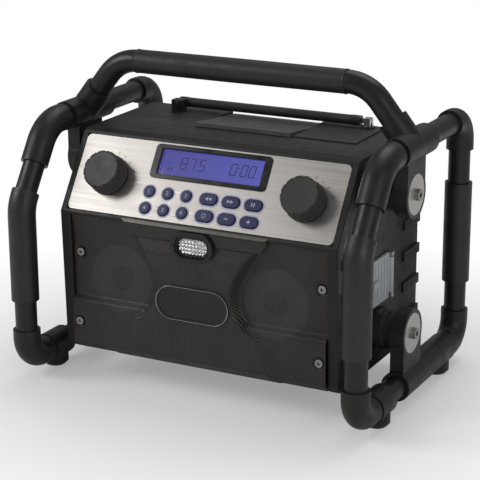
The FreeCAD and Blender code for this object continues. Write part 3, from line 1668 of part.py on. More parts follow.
def build_socket_tray():
    """The recess behind the side door, with a power inlet and a sound jack."""
    deep = "socket_recess + wall"
    shell = box(deep, "door_width", "door_height", TRAY_START, "door_y", "door_z")
    wide = "door_width - 2 * door_lap"
    high = "door_height - 2 * door_lap"
    hollow = box("socket_recess + overrun", wide, high, TRAY_FLOOR, "door_y + door_lap", "door_z + door_lap")
    inlet, inlet_hole = socket("inlet_radius", "inlet_bore", -1)
    jack, jack_hole = socket("jack_radius", "jack_bore", 1)
    sockets = cut(fuse([inlet, jack]), fuse([inlet_hole, jack_hole]))
    name(fuse([cut(shell, hollow), sockets]), "socket_tray")


# Antenna on the deck
def build_antenna_base():
    """A flat pad on the deck with a low turret bored for the swivel's stem."""
    deck = "deck_height"
    pad_x = "antenna_x - antenna_pad_reach"
    pad_y = "antenna_y - antenna_pad_front"
    block = box("antenna_pad_width", "antenna_pad_length", "antenna_pad", pad_x, pad_y, deck)
    turret = cylinder("turret_radius", "turret_height", "antenna_x", "antenna_y", deck)
    radius = "swivel_stem / 2 + hinge_clearance"
    bore = cylinder(radius, "2 * turret_height", "antenna_x", "antenna_y", f"{deck} - overrun")
    name(cut(fuse([block, turret]), bore), "antenna_base")


FORK_FOOT = "(deck_height + turret_height + turret_gap)"


def build_swivel():
    """The stem in the deck, a disc, and the fork with its pin."""
    stem_z = "(deck_height - stem_reach)"
    length = f"{FORK_FOOT} - {stem_z} + overrun / 10"
    stem = cylinder("swivel_stem / 2", length, "antenna_x", "antenna_y", stem_z)
    disc = cylinder("swivel_diameter / 2", "overrun", "antenna_x", "antenna_y", FORK_FOOT)
    cheeks = []
    for side in SIDES:
        near = f"antenna_y + {side} * (fork_gap / 2 + cheek / 2) - cheek / 2"
        foot = f"({FORK_FOOT} + overrun / 2)"
        high = f"antenna_z + cheek_rise - {foot}"
        cheeks.append(box("cheek_width", "cheek", high, "antenna_x - cheek_width / 2", near, foot))
    reach = "(fork_gap + 2 * cheek)"
    pin = cylinder("fork_pin / 2", reach, "antenna_x", f"antenna_y - {reach} / 2", "antenna_z", "y")
    name(fuse([stem, disc, pin] + cheeks), "antenna_swivel")


def build_whip():
    """The eye and neck in the fork, and the soft whip with its thicker boot."""
    wide = "(fork_gap - 2 * fork_clearance)"
    near = f"antenna_y - {wide} / 2"
    eye = cylinder("eye_radius", wide, "antenna_x", near, "antenna_z", "y")
    low = "antenna_z - neck_height / 2"
    neck = box("neck_length", wide, "neck_height", "antenna_x - neck_length", near, low)
    collar_x = "antenna_x - boot_end - ferrule_sink"
    collar = cylinder("ferrule_radius", "ferrule_sink", collar_x, "antenna_y", "antenna_z", "x")
    reach = "(fork_gap + 2 * cheek)"
    radius = "fork_pin / 2 + hinge_clearance"
    bore = cylinder(radius, reach, "antenna_x", f"antenna_y - {reach} / 2", "antenna_z", "y")
    ferrule = cut(fuse([eye, neck, collar]), bore)
    length = "(whip_length - boot_length)"
    tip_x = "antenna_x - boot_end - whip_length"
    rubber = cylinder("whip_diameter / 2", length, tip_x, "antenna_y", "antenna_z", "x")
    boot_x = "antenna_x - boot_end - boot_length"
    boot = cylinder("whip_diameter / 2 + boot_swell", "boot_length", boot_x, "antenna_y", "antenna_z", "x")
    seat = cylinder("ferrule_radius", "ferrule_sink", collar_x, "antenna_y", "antenna_z", "x")
    name(group([ferrule, cut(fuse([rubber, boot]), seat)]), "antenna_whip")


def build_rest():
    """The post beside the stowed whip, with a round peg on its front."""
    y = "(antenna_y - whip_diameter / 2 - fit_clearance - rest_depth)"
    post = box("rest_width", "rest_depth", "rest_height", "-antenna_x - rest_shift", y, "deck_height")
    peg_x = "-antenna_x - rest_shift + rest_width / 2"
    peg = cylinder("eye_radius", "peg_length", peg_x, f"{y} - peg_length", "antenna_z", "y")
    name(fuse([post, peg]), "antenna_rest")


build_cage()
build_hardware()
build_front_cabinet()
build_rear_cabinet()
build_deck()
build_lid()
build_plate()
build_display()
build_keys()
build_dial(-1, "tuning_dial", "tuning_shaft")
build_dial(1, "volume_dial", "volume_shaft")
build_board()
build_grille()
build_screws()
build_lamp()
build_visor()
build_badge()
build_speakers()
build_battery()
build_battery_door()
build_door_pins()
build_side_door()
build_socket_tray()
build_antenna_base()
build_swivel()
build_whip()
build_rest()
doc.recompute()

for thing in doc.Objects:
    if "Invalid" in thing.State or "Error" in thing.State:
        raise ValueError(f"{thing.Label} ({thing.Name}) failed: {thing.State}")
for part in subparts:
    if part.Shape.isNull() or not part.Shape.isValid():
        raise ValueError(f"{part.Label} has no valid shape")
for part in subparts:
    part.Shape.exportStep(f"parts/{part.Label}.step")
print(len(subparts), "sub-parts")
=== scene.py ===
"""Looks of a jobsite radio in a bent pipe cage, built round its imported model.
The frame is in metres, +Z up, with the front towards -Y. Shapes are worked out in its millimetres."""
import math
import bpy
import numpy as np
from bpy.props import FloatProperty, FloatVectorProperty, IntProperty, PointerProperty
from mathutils import Matrix, Vector


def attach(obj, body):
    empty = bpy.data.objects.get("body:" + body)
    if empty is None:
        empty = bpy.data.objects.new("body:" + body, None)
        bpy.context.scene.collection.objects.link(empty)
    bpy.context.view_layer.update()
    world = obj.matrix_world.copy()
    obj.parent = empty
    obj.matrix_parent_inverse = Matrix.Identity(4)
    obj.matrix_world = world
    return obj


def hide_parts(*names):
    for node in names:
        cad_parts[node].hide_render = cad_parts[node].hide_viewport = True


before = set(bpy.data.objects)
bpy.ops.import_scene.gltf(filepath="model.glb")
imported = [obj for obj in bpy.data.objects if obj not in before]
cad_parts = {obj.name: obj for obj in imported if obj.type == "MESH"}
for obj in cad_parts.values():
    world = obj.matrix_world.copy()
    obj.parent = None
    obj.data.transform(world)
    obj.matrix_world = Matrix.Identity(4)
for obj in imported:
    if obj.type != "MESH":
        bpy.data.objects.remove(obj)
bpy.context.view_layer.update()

bl_info = {
    "name": "Jobsite radio",
    "version": (1, 0, 0),
    "blender": (4, 5, 0),
    "location": "3D View > Sidebar > Radio",
    "description": "Builds the finishes and fine pieces of a jobsite radio",
    "category": "Object",
}

MM = 0.001

# The sloping panel: its foot, its directions, and the middles of what stands on it
LEAN = math.radians(33.7)
PANEL_FOOT = np.array([0.0, -114.6, 202.4])
ACROSS = np.array([1.0, 0.0, 0.0])
UP_PANEL = np.array([0.0, math.sin(LEAN), math.cos(LEAN)])
OUT_PANEL = np.array([0.0, -math.cos(LEAN), math.sin(LEAN)])
KEY_ROWS = (31.5, 12.0)
ROUND_KEYS = [(-65.5 + 23.2 * (i % 3), KEY_ROWS[i // 3]) for i in range(6)]
OVAL_KEYS = [(8.6 + 27.2 * (i % 3), KEY_ROWS[i // 3]) for i in range(6)]
KEY_RADIUS = 6.5
OVAL_KEY_HALF = 4.25
KEY_TOP = 2.4
SIGN_THICK = 0.12
DIALS = {"tuning_dial": -121.5, "volume_dial": 121.5}
DIAL_ALONG = 43.7
DISPLAY_ALONG = 68.0
DISPLAY_DEPTH = 1.98

# The front: the pressed sheet's edges, its screws, the speakers, the lamp and the badge
GRILLE_HALF = 158.0
GRILLE_FOOT = 38.0
GRILLE_TOP = 196.0
SCREW_X = 150.0
SCREW_HEIGHTS = (70.5, 151.0)
DISH_RADIUS = 7.4
DISH_DEPTH = 2.6
SPEAKER_X = 96.0
SPEAKER_Z = 127.5
LAMP_HALF = 9.0
LAMP_Z = 179.5
LAMP_OPENING = 16.7
REFLECTOR_Y = -118.4
BADGE_HALF = 25.5
BADGE_RADIUS = 19.5
BADGE_Y = -124.0
BADGE_Z = 114.0

# The cage and the deck: the handle's axis, the side mounts' axes, and the stowed whip's axis
HANDLE_Y = -8.0
HANDLE_Z = 353.0
HANDLE_GRIP_HALF = 131.0
MOUNT_Y = -8.0
MOUNT_HEIGHTS = (237.5, 80.0)
WHIP_START = (112.4, 73.0, 291.5)

# Studio: a camera found from the photograph's perspective, and lights as name, place, size and power
CAMERA_PLACE = Vector((0.8494, -1.6299, 0.7173))
CAMERA_TARGET = Vector((0.01824, -0.0436, 0.16965))
CAMERA_ROLL = math.radians(-0.29)
CAMERA_LENS = 125.94
SENSOR_WIDTH = 36
LIGHTS = (
    ("key", (-2.1, -1.5, 1.7), 1.3, 34),
    ("fill", (1.9, -1.2, 1.0), 1.4, 12),
    ("top", (0.1, 0.9, 2.2), 1.5, 16),
)
LIGHTS_AIM = Vector((0, 0, 0.15))
FLOOR_HALF = 30
AMBIENT = (0.27, 0.27, 0.275, 1)
WHITE = (1, 1, 1, 1)


def colour(name, text, default):
    return FloatVectorProperty(
        name=name, description=text, default=default, size=3, min=0, max=1, subtype="COLOR")


class RadioColours(bpy.types.PropertyGroup):
    """Colours of the radio, as linear light."""

    cage: colour("Cage", "Painted pipes and moulded fittings", (0.0135, 0.0118, 0.0108))
    sleeve: colour("Sleeves", "Soft sleeves on the posts and the handle", (0.0120, 0.0108, 0.0098))
    cabinet: colour("Cabinet", "Moulded shells of the cabinet", (0.0085, 0.0077, 0.0071))
    hatch: colour("Hatch cover", "Ribbed cover on the deck", (0.070, 0.069, 0.067))
    plate: colour("Control plate", "Brushed metal of the sloping plate", (0.40, 0.380, 0.356))
    display: colour("Display", "Lit face of the display", (0.095, 0.105, 0.46))
    keys: colour("Keys", "Moulded key caps", (0.016, 0.017, 0.075))
    grille: colour("Grille", "Painted pierced sheet", (0.042, 0.0375, 0.0345))
    side_door: colour("Side door", "Ribbed door over the sockets", (0.36, 0.37, 0.39))


class RadioSizes(bpy.types.PropertyGroup):
    """Sizes of the fine pieces."""

    hole_pitch: FloatProperty(
        name="Hole pitch", description="Spacing of the grille's rows of holes", default=0.003, unit="LENGTH")
    sheet: FloatProperty(
        name="Sheet", description="Thickness of the grille's sheet", default=0.0014, unit="LENGTH")
    mesh_step: FloatProperty(
        name="Surface step", description="Spacing of points over the grille", default=0.00125, unit="LENGTH")
    notches: IntProperty(
        name="Dial notches", description="Finger notches round each dial", default=12, min=3)
    digit_height: FloatProperty(
        name="Digit height", description="Height of the digits on the keys", default=0.0066, unit="LENGTH")


def colours():
    return bpy.context.scene.radio_colours


def sizes():
    return bpy.context.scene.radio_sizes


# Surfaces
def grid_quads(rows, cols, close_rows=False, close_cols=False):
    """Corner numbers of every cell of a grid, counted row by row."""
    down = np.arange(rows if close_rows else rows - 1)
    over = np.arange(cols if close_cols else cols - 1)
    row, col = np.meshgrid(down, over, indexing="ij")
    next_row = (row + 1) % rows
    next_col = (col + 1) % cols
    corners = [row * cols + col, row * cols + next_col, next_row * cols + next_col, next_row * cols + col]
    return np.stack(corners, -1).reshape(-1, 4)


def turned(profile, count, ripple=None):
    """A profile of (r, h) turned about Z: x = r cos t, y = r sin t, z = h. The ripple adds to r by place.
    A profile that starts and ends on the axis closes at a pole, and any other closes on itself."""
    profile = np.asarray(profile, float)
    angle = np.arange(count) * 2 * np.pi / count
    radius = profile[:, :1] + np.zeros(count)
    height = profile[:, 1:] + np.zeros(count)
    if ripple is not None:
        radius = radius + ripple(profile[:, :1], profile[:, 1:], angle[None, :])
    poles = profile[0, 0] == 0 and profile[-1, 0] == 0
    if poles:
        radius = radius[1:-1]
        height = height[1:-1]
    points = np.stack([radius * np.cos(angle), radius * np.sin(angle), height], -1).reshape(-1, 3)
    rows = radius.shape[0]
    faces = grid_quads(rows, count, close_rows=not poles, close_cols=True).tolist()
    if poles:
        pole = len(points)
        points = np.vstack([points, [[0, 0, profile[0, 1]], [0, 0, profile[-1, 1]]]])
        around = np.arange(count)
        after = (around + 1) % count
        last = (rows - 1) * count
        faces += np.stack([after, around, np.full(count, pole)], -1).tolist()
        faces += np.stack([last + around, last + after, np.full(count, pole + 1)], -1).tolist()
    return points, faces


def round_outline(half, radius, count):
    """Points and outward directions of an oval: a half circle at each end of a bar of half length half.
    The cosine is rounded before its sign is taken, so that the topmost point stays in the middle."""
    angle = np.arange(count) * 2 * np.pi / count
    out = np.stack([np.cos(angle), np.sin(angle)], -1)
    shift = np.sign(np.round(np.cos(angle), 9)) * half
    return out * radius + np.stack([shift, np.zeros(count)], -1), out


def within_oval(x, y, half, radius):
    """True where the distance to an oval's middle bar is under the radius."""
    return np.hypot(np.maximum(np.abs(x) - half, 0), y) < radius


def carried_ring(outline, out, section):
    """A closed section carried round an outline: point = outline + out * u, height = v, for each (u, v)."""
    section = np.asarray(section, float)
    flat = outline[None] + out[None] * section[:, :1, None]
    high = np.broadcast_to(section[:, 1:, None], flat.shape[:2] + (1,))
    points = np.concatenate([flat, high], -1).reshape(-1, 3)
    return points, grid_quads(len(section), len(outline), True, True).tolist()


def slab_of(outlines, low, high):
    """Flat outlines given a thickness: each is its corners at two heights, a bottom, a top and a wall."""
    points = []
    faces = []
    first = 0
    for outline in outlines:
        count = len(outline)
        points.append(np.column_stack([outline, np.full(count, low)]))
        points.append(np.column_stack([outline, np.full(count, high)]))
        ring = first + np.arange(count)
        after = first + (np.arange(count) + 1) % count
        faces.append(ring[::-1].tolist())
        faces.append((ring + count).tolist())
        faces += np.stack([ring, after, after + count, ring + count], -1).tolist()
        first += 2 * count
    return np.vstack(points), faces


def joined(parts):
    """Several meshes as one: points stacked and faces renumbered."""
    points = []
    faces = []
    count = 0
    for some, cells in parts:
        points.append(some)
        faces += [[index + count for index in cell] for cell in cells]
        count += len(some)
    return np.vstack(points), faces


def stand(points, origin, x_axis, y_axis, z_axis):
    """Local millimetres to metres in the radio's frame: origin + x X + y Y + z Z."""
    axes = np.stack([x_axis, y_axis, z_axis])
    return (np.asarray(origin, float) + np.asarray(points, float) @ axes) * MM


def on_panel(points, across=0.0, along=0.0, out=0.0):
    """Local millimetres laid on the sloping panel at a point of it."""
    origin = PANEL_FOOT + ACROSS * across + UP_PANEL * along + OUT_PANEL * out
    return stand(points, origin, ACROSS, UP_PANEL, OUT_PANEL)


def facing_front(points, x=0.0, y=0.0, z=0.0):
    """Local millimetres stood upright: local x across, y up, and z towards the viewer."""
    return stand(points, (x, y, z), (1, 0, 0), (0, 0, 1), (0, -1, 0))


def piece(name, points, faces, finish, body, slot, replaces=(), smooth=True, angle=40):
    """Make a mesh piece that rides on a body and takes the given finish. The slot argument is not used."""
    mesh = bpy.data.meshes.new(name)
    mesh.from_pydata(np.asarray(points, float).tolist(), [], faces)
    mesh.validate()
    if smooth:
        mesh.shade_smooth()
        mesh.set_sharp_from_angle(angle=math.radians(angle))
    thing = bpy.data.objects.new(name, mesh)
    bpy.context.scene.collection.objects.link(thing)
    mesh.materials.append(finish)
    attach(thing, body)
    if replaces:
        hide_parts(*replaces)


def lettering(text, size):
    """A digit or sign as a flat mesh in millimetres, centred, one sign's thickness high."""
    curve = bpy.data.curves.new("sign", "FONT")
    curve.body = text
    curve.size = size
    curve.extrude = SIGN_THICK / 2
    curve.align_x = "CENTER"
    curve.align_y = "CENTER"
    curve.resolution_u = 3
    holder = bpy.data.objects.new("sign", curve)
    bpy.context.scene.collection.objects.link(holder)
    bpy.context.view_layer.update()
    mesh = bpy.data.meshes.new_from_object(holder.evaluated_get(bpy.context.evaluated_depsgraph_get()))
    points = np.empty(len(mesh.vertices) * 3)
    mesh.vertices.foreach_get("co", points)
    points = points.reshape(-1, 3)
    points -= (points.max(0) + points.min(0)) / 2
    faces = [list(face.vertices) for face in mesh.polygons]
    bpy.data.objects.remove(holder)
    bpy.data.curves.remove(curve)
    bpy.data.meshes.remove(mesh)
    return points, faces


# Finishes
class Finish:
    """A material's nodes, built one call at a time."""

    def __init__(self, name):
        self.material = bpy.data.materials.new(name)
        self.material.use_nodes = True
        self.tree = self.material.node_tree
        self.tree.nodes.clear()
        self.out = self.tree.nodes.new("ShaderNodeOutputMaterial")
        self.shader = self.tree.nodes.new("ShaderNodeBsdfPrincipled")
        self.tree.links.new(self.shader.outputs[0], self.out.inputs["Surface"])
        self.place = self.tree.nodes.new("ShaderNodeTexCoord").outputs["Object"]

    def node(self, kind, values=(), **settings):
        """Add a node with these settings, and put a value or a link into each named input."""
        made = self.tree.nodes.new(kind)
        for key, value in settings.items():
            setattr(made, key, value)
        for socket, value in dict(values).items():
            self.put(made.inputs[socket], value)
        return made

    def put(self, socket, value):
        """Link another node's output to a socket, or set a plain value on it."""
        if isinstance(value, bpy.types.NodeSocket):
            self.tree.links.new(value, socket)
        else:
            socket.default_value = value

    def set(self, **values):
        """Set the shader's sockets by name, such as base_color or specular_ior_level."""
        for key, value in values.items():
            label = key.replace("_", " ").title().replace("Ior", "IOR")
            self.put(self.shader.inputs[label], value)

    def math(self, operation, *values):
        made = self.node("ShaderNodeMath", operation=operation)
        for socket, value in zip(made.inputs, values):
            self.put(socket, value)
        return made.outputs[0]

    def distance(self, first, second):
        """The root of two values squared and added."""
        squares = [self.math("POWER", value, 2.0) for value in (first, second)]
        return self.math("SQRT", self.math("ADD", *squares))

    def apart(self, vector):
        """A vector's three parts."""
        return self.node("ShaderNodeSeparateXYZ", {0: vector}).outputs[:]

    def noise(self, scale, detail, stretch=None, rough=0.5):
        place = self.place
        if stretch:
            place = self.node("ShaderNodeMapping", {"Vector": place, "Scale": stretch}).outputs[0]
        values = {"Vector": place, "Scale": scale, "Detail": detail, "Roughness": rough}
        return self.node("ShaderNodeTexNoise", values).outputs["Fac"]

    def spread(self, value, low, high, to_low, to_high):
        """Map a value's range from low to high onto another range, and hold it there."""
        ends = {"From Min": low, "From Max": high, "To Min": to_low, "To Max": to_high}
        return self.node("ShaderNodeMapRange", {"Value": value, **ends}).outputs[0]

    def middle(self, noise, low, high):
        """Spread the band that holds most of a noise's values from low to high."""
        return self.spread(noise, 0.3, 0.7, low, high)

    def wander(self, scale, detail, low, high):
        """A value that wanders between low and high over the surface."""
        return self.middle(self.noise(scale, detail), low, high)

    def mix(self, share, first, second):
        """Mix two colours. The node's colour inputs are numbers 6 and 7, because its names repeat."""
        return self.node("ShaderNodeMix", {0: share, 6: first, 7: second}, data_type="RGBA").outputs[2]

    def mottled(self, rgb, scale, detail, dark, pale):
        """A colour that wanders between a darker and a paler tone of itself."""
        return self.mix(self.wander(scale, detail, 0, 1), tone(rgb, dark), tone(rgb, pale))

    def bump(self, height, strength, distance):
        values = {"Height": height, "Strength": strength, "Distance": distance}
        self.set(normal=self.node("ShaderNodeBump", values).outputs[0])

    def edges(self, radius):
        """High where the surface turns sharply within a radius: one minus how well two normals agree."""
        rounded = self.node("ShaderNodeBevel", {"Radius": radius}, samples=4).outputs[0]
        facing = self.node("ShaderNodeNewGeometry").outputs["Normal"]
        agree = self.node("ShaderNodeVectorMath", {0: rounded, 1: facing}, operation="DOT_PRODUCT")
        return self.spread(agree.outputs["Value"], 0.995, 0.86, 0.0, 1.0)

    def rubbed(self, radius, scale, least, most):
        """High on sharp edges, in patches between least and most."""
        patches = self.spread(self.noise(scale, 5), 0.35, 0.7, least, most)
        return self.math("MULTIPLY", self.edges(radius), patches)


def tone(rgb, factor):
    """A colour made darker or paler, with an alpha of one."""
    return (*(min(1.0, part * factor) for part in rgb), 1.0)


def moulded(name, rgb, roughness, grain=2600, depth=0.00006, wear=0.5, worn=2.6, dust=0.0):
    """Moulded or painted dark surface: fine grain, broad shade changes, rubbed edges, dust on top."""
    look = Finish(name)
    base = look.mottled(rgb, 22, 4, 0.86, 1.16)
    base = look.mix(look.rubbed(0.0011, 140, 0.15, wear), base, tone(rgb, worn))
    if dust:
        upward = look.apart(look.node("ShaderNodeNewGeometry").outputs["Normal"])[2]
        patches = look.spread(look.noise(60, 6), 0.4, 0.75, 0.2, 1)
        settled = look.math("MULTIPLY", look.spread(upward, 0.5, 1.0, 0, dust), patches)
        base = look.mix(settled, base, (0.16, 0.15, 0.14, 1))
    look.set(base_color=base, roughness=look.wander(75, 5, roughness - 0.07, roughness + 0.09),
             specular_ior_level=0.36)
    look.bump(look.noise(grain, 2), 0.5, depth)
    return look.material


def brushed(name, rgb, along=(6, 900, 900), roughness=0.36):
    """Brushed metal: fine streaks drawn out along one way, in shade, gloss and height."""
    look = Finish(name)
    streak = look.noise(1.0, 6, stretch=along, rough=0.65)
    broad = look.noise(1.0, 3, stretch=(along[0] * 2.5, along[1] * 0.06, along[2] * 0.06))
    shade = look.math("MULTIPLY_ADD", broad, 0.4, look.math("MULTIPLY", streak, 0.6))
    base = look.mix(look.spread(shade, 0.38, 0.62, 0, 1), tone(rgb, 0.86), tone(rgb, 1.1))
    look.set(base_color=base, metallic=1.0, roughness=look.middle(streak, roughness - 0.07, roughness + 0.09))
    look.bump(streak, 0.12, 0.00003)
    return look.material


def pierced(name, rgb, pitch):
    """Painted sheet with staggered rows of round holes: the distance to the nearest point of two square
    lattices, half a step apart, marks each hole. The holes are painted near-black, as painted shade of
    the dark inside behind the sheet, and holes over a cone show its lighter paper."""
    look = Finish(name)
    x, _, z = look.apart(look.place)
    lattices = []
    for offset in (0.0, 0.5):
        squares = []
        for part in (x, z):
            cell = look.math("FRACT", look.math("MULTIPLY_ADD", part, 1 / pitch, offset))
            squares.append(look.math("POWER", look.math("SUBTRACT", cell, 0.5), 2.0))
        lattices.append(look.math("ADD", *squares))
    hole = look.spread(look.math("MINIMUM", *lattices), 0.050, 0.034, 0.0, 1.0)
    sideways = look.math("SUBTRACT", look.math("ABSOLUTE", x), SPEAKER_X * MM)
    reach = look.distance(sideways, look.math("SUBTRACT", z, SPEAKER_Z * MM))
    disc = look.spread(reach, 0.0395, 0.0375, 0.0, 1.0)
    cap = look.spread(reach, 0.0155, 0.0140, 0.0, 1.0)
    cone = look.math("MULTIPLY", disc, look.math("SUBTRACT", 1.0, look.math("MULTIPLY", cap, 0.8)))
    # Colour in the holes: near-black painted shade of the inside behind the sheet, and over each cone its own
    # paler tone with a darker cap
    depth = look.mix(cone, (0.0025, 0.0025, 0.0025, 1), (0.050, 0.047, 0.044, 1))
    paint = look.mottled(rgb, 30, 4, 0.85, 1.2)
    paint = look.mix(look.rubbed(0.0012, 150, 0.1, 0.5), paint, tone(rgb, 3.0))
    look.set(base_color=look.mix(hole, paint, depth), roughness=look.wander(90, 5, 0.36, 0.5),
             specular_ior_level=look.spread(hole, 0.0, 1.0, 0.4, 0.05))
    look.bump(look.math("SUBTRACT", 1.0, hole), 0.6, 0.0003)
    return look.material


def rubbery(name, rgb, roughness=0.62):
    """Soft matt rubber: fine pitting, faint bloom, slightly paler where handled."""
    look = Finish(name)
    bloom = look.spread(look.noise(35, 5), 0.35, 0.7, 0, 1)
    base = look.mix(bloom, tone(rgb, 0.88), tone(rgb, 1.25))
    base = look.mix(look.math("MULTIPLY", look.edges(0.001), 0.35), base, tone(rgb, 2.2))
    look.set(base_color=base, roughness=look.wander(110, 4, roughness - 0.08, roughness + 0.1))
    look.bump(look.noise(1900, 2), 0.45, 0.00005)
    return look.material


def polished(name, rgb, roughness):
    """Bright metal with faint wiping marks."""
    look = Finish(name)
    marks = look.noise(1.0, 5, stretch=(160, 900, 160))
    look.set(base_color=look.mottled(rgb, 60, 4, 0.9, 1.05), metallic=1.0,
             roughness=look.middle(marks, roughness, roughness + 0.08))
    return look.material


def ringed(name, rgb):
    """Metal faced on a lathe: fine rings, from the distance to the mounts' axes in the side plane."""
    look = Finish(name)
    _, y, z = look.apart(look.place)
    offsets = [look.math("SUBTRACT", z, height * MM) for height in MOUNT_HEIGHTS]
    upright = look.math("MINIMUM", *(look.math("ABSOLUTE", offset) for offset in offsets))
    reach = look.distance(upright, look.math("SUBTRACT", y, MOUNT_Y * MM))
    patches = look.noise(90, 5)
    base = look.mix(look.middle(patches, 0, 1), tone(rgb, 0.82), tone(rgb, 1.06))
    look.set(base_color=base, metallic=0.9, roughness=look.middle(patches, 0.3, 0.5))
    look.bump(look.math("SINE", look.math("MULTIPLY", reach, 14000.0)), 0.15, 0.00003)
    return look.material


def glassy(name, roughness=0.03):
    """Thin clear window: a faint gloss with smears in it over whatever lies behind."""
    look = Finish(name)
    smears = look.spread(look.noise(45, 5), 0.4, 0.8, roughness, roughness + 0.07)
    look.set(base_color=(0.02, 0.02, 0.025, 1), roughness=smears, alpha=0.16, ior=1.45)
    return look.material


def lit_display(name, rgb):
    """Lit display face: a touch darker and more violet to the left, with the light's faint unevenness."""
    look = Finish(name)
    across = look.math("ADD", look.apart(look.place)[0], look.math("MULTIPLY", look.noise(30, 3), 0.03))
    ramp = look.spread(across, -0.06, 0.08, 0, 1)
    violet = (rgb[0] * 0.62, rgb[1] * 0.5, rgb[2] * 0.72, 1)
    look.set(base_color=look.mix(ramp, (0.01, 0.01, 0.05, 1), (0.02, 0.02, 0.08, 1)), roughness=0.3,
             emission_color=look.mix(ramp, violet, tone(rgb, 1.12)), emission_strength=1.0)
    return look.material


def printed(name, rgb, roughness=0.5):
    """Printed ink, a little uneven."""
    look = Finish(name)
    look.set(base_color=look.mottled(rgb, 400, 4, 0.88, 1.06),
             roughness=look.wander(200, 3, roughness - 0.05, roughness + 0.08))
    return look.material


def clad(nodes, finish):
    """Give CAD nodes a finish."""
    for label in nodes:
        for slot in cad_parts[label].material_slots:
            slot.material = finish


def soften(nodes, width):
    """Round the sharp edges of CAD nodes by a small width, after joining their loose triangles."""
    for label in nodes:
        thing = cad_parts[label]
        weld = thing.modifiers.new("Join", "WELD")
        weld.merge_threshold = 0.00001
        bevel = thing.modifiers.new("Edge", "BEVEL")
        bevel.width = width
        bevel.segments = 2
        bevel.limit_method = "ANGLE"
        bevel.angle_limit = math.radians(35)


class RADIO_OT_cage(bpy.types.Operator):
    """Paint the pipes, mould the fittings and the feet"""

    bl_idname = "radio.cage"
    bl_label = "Cage"

    def execute(self, context):
        pipe = moulded("cage pipe", colours().cage, 0.36, grain=900, depth=0.00002)
        fitting = moulded("cage fitting", colours().cage, 0.42, grain=2200, wear=0.65, dust=0.05)
        clad(["front_posts", "rear_posts", "bottom_rails", "top_rails", "handle_tube"], pipe)
        clad(["upper_front_elbows", "corner_elbows", "foot_tees", "mount_tees", "handle_tees"], fitting)
        clad(["front_post_sleeves", "rear_post_sleeves"], rubbery("post sleeve", colours().sleeve, 0.45))
        return {"FINISHED"}


class RADIO_OT_grip(bpy.types.Operator):
    """Make the handle's soft grip, with rolled ends and a faint swell"""

    bl_idname = "radio.grip"
    bl_label = "Handle grip"

    def execute(self, context):
        end = HANDLE_GRIP_HALF
        bore = 13.06
        reach = np.linspace(-end + 3, end - 3, 90)
        swell = 13.55 + 0.25 * np.cos(reach / end * np.pi / 2) ** 2
        rolled = np.array([[13.2, -end], [13.9, -end + 0.6], [13.9, -end + 2.0], [13.5, -end + 2.6]])
        outer = np.vstack([rolled, np.column_stack([swell, reach]), (rolled * [1, -1])[::-1]])
        points, faces = turned(np.vstack([outer, [[bore, end], [bore, -end]]]), 72)
        laid = stand(points, (0, HANDLE_Y, HANDLE_Z), (0, 1, 0), (0, 0, 1), (1, 0, 0))
        rubber = rubbery("handle grip", colours().sleeve, 0.5)
        piece("handle_grip_soft", laid, faces, rubber, "radio", "sleeve", ("handle_grip",))
        return {"FINISHED"}


class RADIO_OT_cabinet(bpy.types.Operator):
    """Finish the cabinet's shells, deck, doors and bays"""

    bl_idname = "radio.cabinet"
    bl_label = "Cabinet"

    def execute(self, context):
        shell = moulded("cabinet shell", colours().cabinet, 0.42, grain=2400, wear=0.6, dust=0.06)
        deck = moulded("deck", tone(colours().cabinet, 1.5)[:3], 0.5, grain=1800, wear=0.6, dust=0.1)
        clad(["front_cabinet", "rear_cabinet", "battery_door", "battery_bay", "socket_tray"], shell)
        clad(["top_deck", "antenna_base", "antenna_rest"], deck)
        clad(["hatch_cover"], moulded("hatch cover", colours().hatch, 0.5, worn=1.6))
        clad(["side_door"], moulded("side door", colours().side_door, 0.5, wear=0.3, worn=1.3))
        clad(["battery_pack"], moulded("battery pack", (0.03, 0.03, 0.031), 0.5))
        clad(["key_mat"], rubbery("key mat", (0.3, 0.3, 0.29)))
        clad(["circuit_board"], moulded("circuit board", (0.01, 0.09, 0.03), 0.4))
        clad(["speaker_baskets"], moulded("speaker basket", (0.03, 0.03, 0.03), 0.45))
        clad(["speaker_cones"], rubbery("speaker cone", (0.05, 0.05, 0.05), 0.7))
        clad(["lamp_visor"], self.visor_finish())
        soften(["front_cabinet", "rear_cabinet", "top_deck", "hatch_cover", "battery_door"], 0.0008)
        soften(["side_door", "antenna_base", "antenna_rest", "lamp_visor"], 0.0004)
        return {"FINISHED"}

    def visor_finish(self):
        """Smooth dark plastic whose sloping lip, above the band, carries a painted highlight in a warmer,
        paler tone.
        """
        look = Finish("visor")
        lip = look.spread(look.apart(look.place)[2], 0.1962, 0.1966, 0.0, 1.0)
        patches = look.wander(40, 4, 0, 1)
        band = look.mix(patches, (0.008, 0.0075, 0.007, 1), (0.013, 0.012, 0.011, 1))
        # Painted highlight on the sloping lip: warmer and paler than the band below it
        lip_highlight = look.mix(patches, (0.070, 0.062, 0.044, 1), (0.092, 0.082, 0.060, 1))
        look.set(base_color=look.mix(lip, band, lip_highlight), roughness=look.wander(90, 4, 0.22, 0.34))
        look.bump(look.noise(1500, 2), 0.4, 0.00002)
        return look.material


class RADIO_OT_hardware(bpy.types.Operator):
    """Finish the mounts, screws, pins and shafts"""

    bl_idname = "radio.hardware"
    bl_label = "Hardware"

    def execute(self, context):
        clad(["mount_bushings"], rubbery("bushing", (0.02, 0.02, 0.02)))
        clad(["mount_washers"], ringed("faced washer", (0.55, 0.54, 0.52)))
        clad(["mount_bolts", "grille_screws"], polished("zinc screw", (0.30, 0.30, 0.29), 0.3))
        pin = brushed("turned pin", (0.5, 0.5, 0.5), along=(300, 300, 300), roughness=0.3)
        clad(["door_pins", "tuning_shaft", "volume_shaft"], pin)
        return {"FINISHED"}


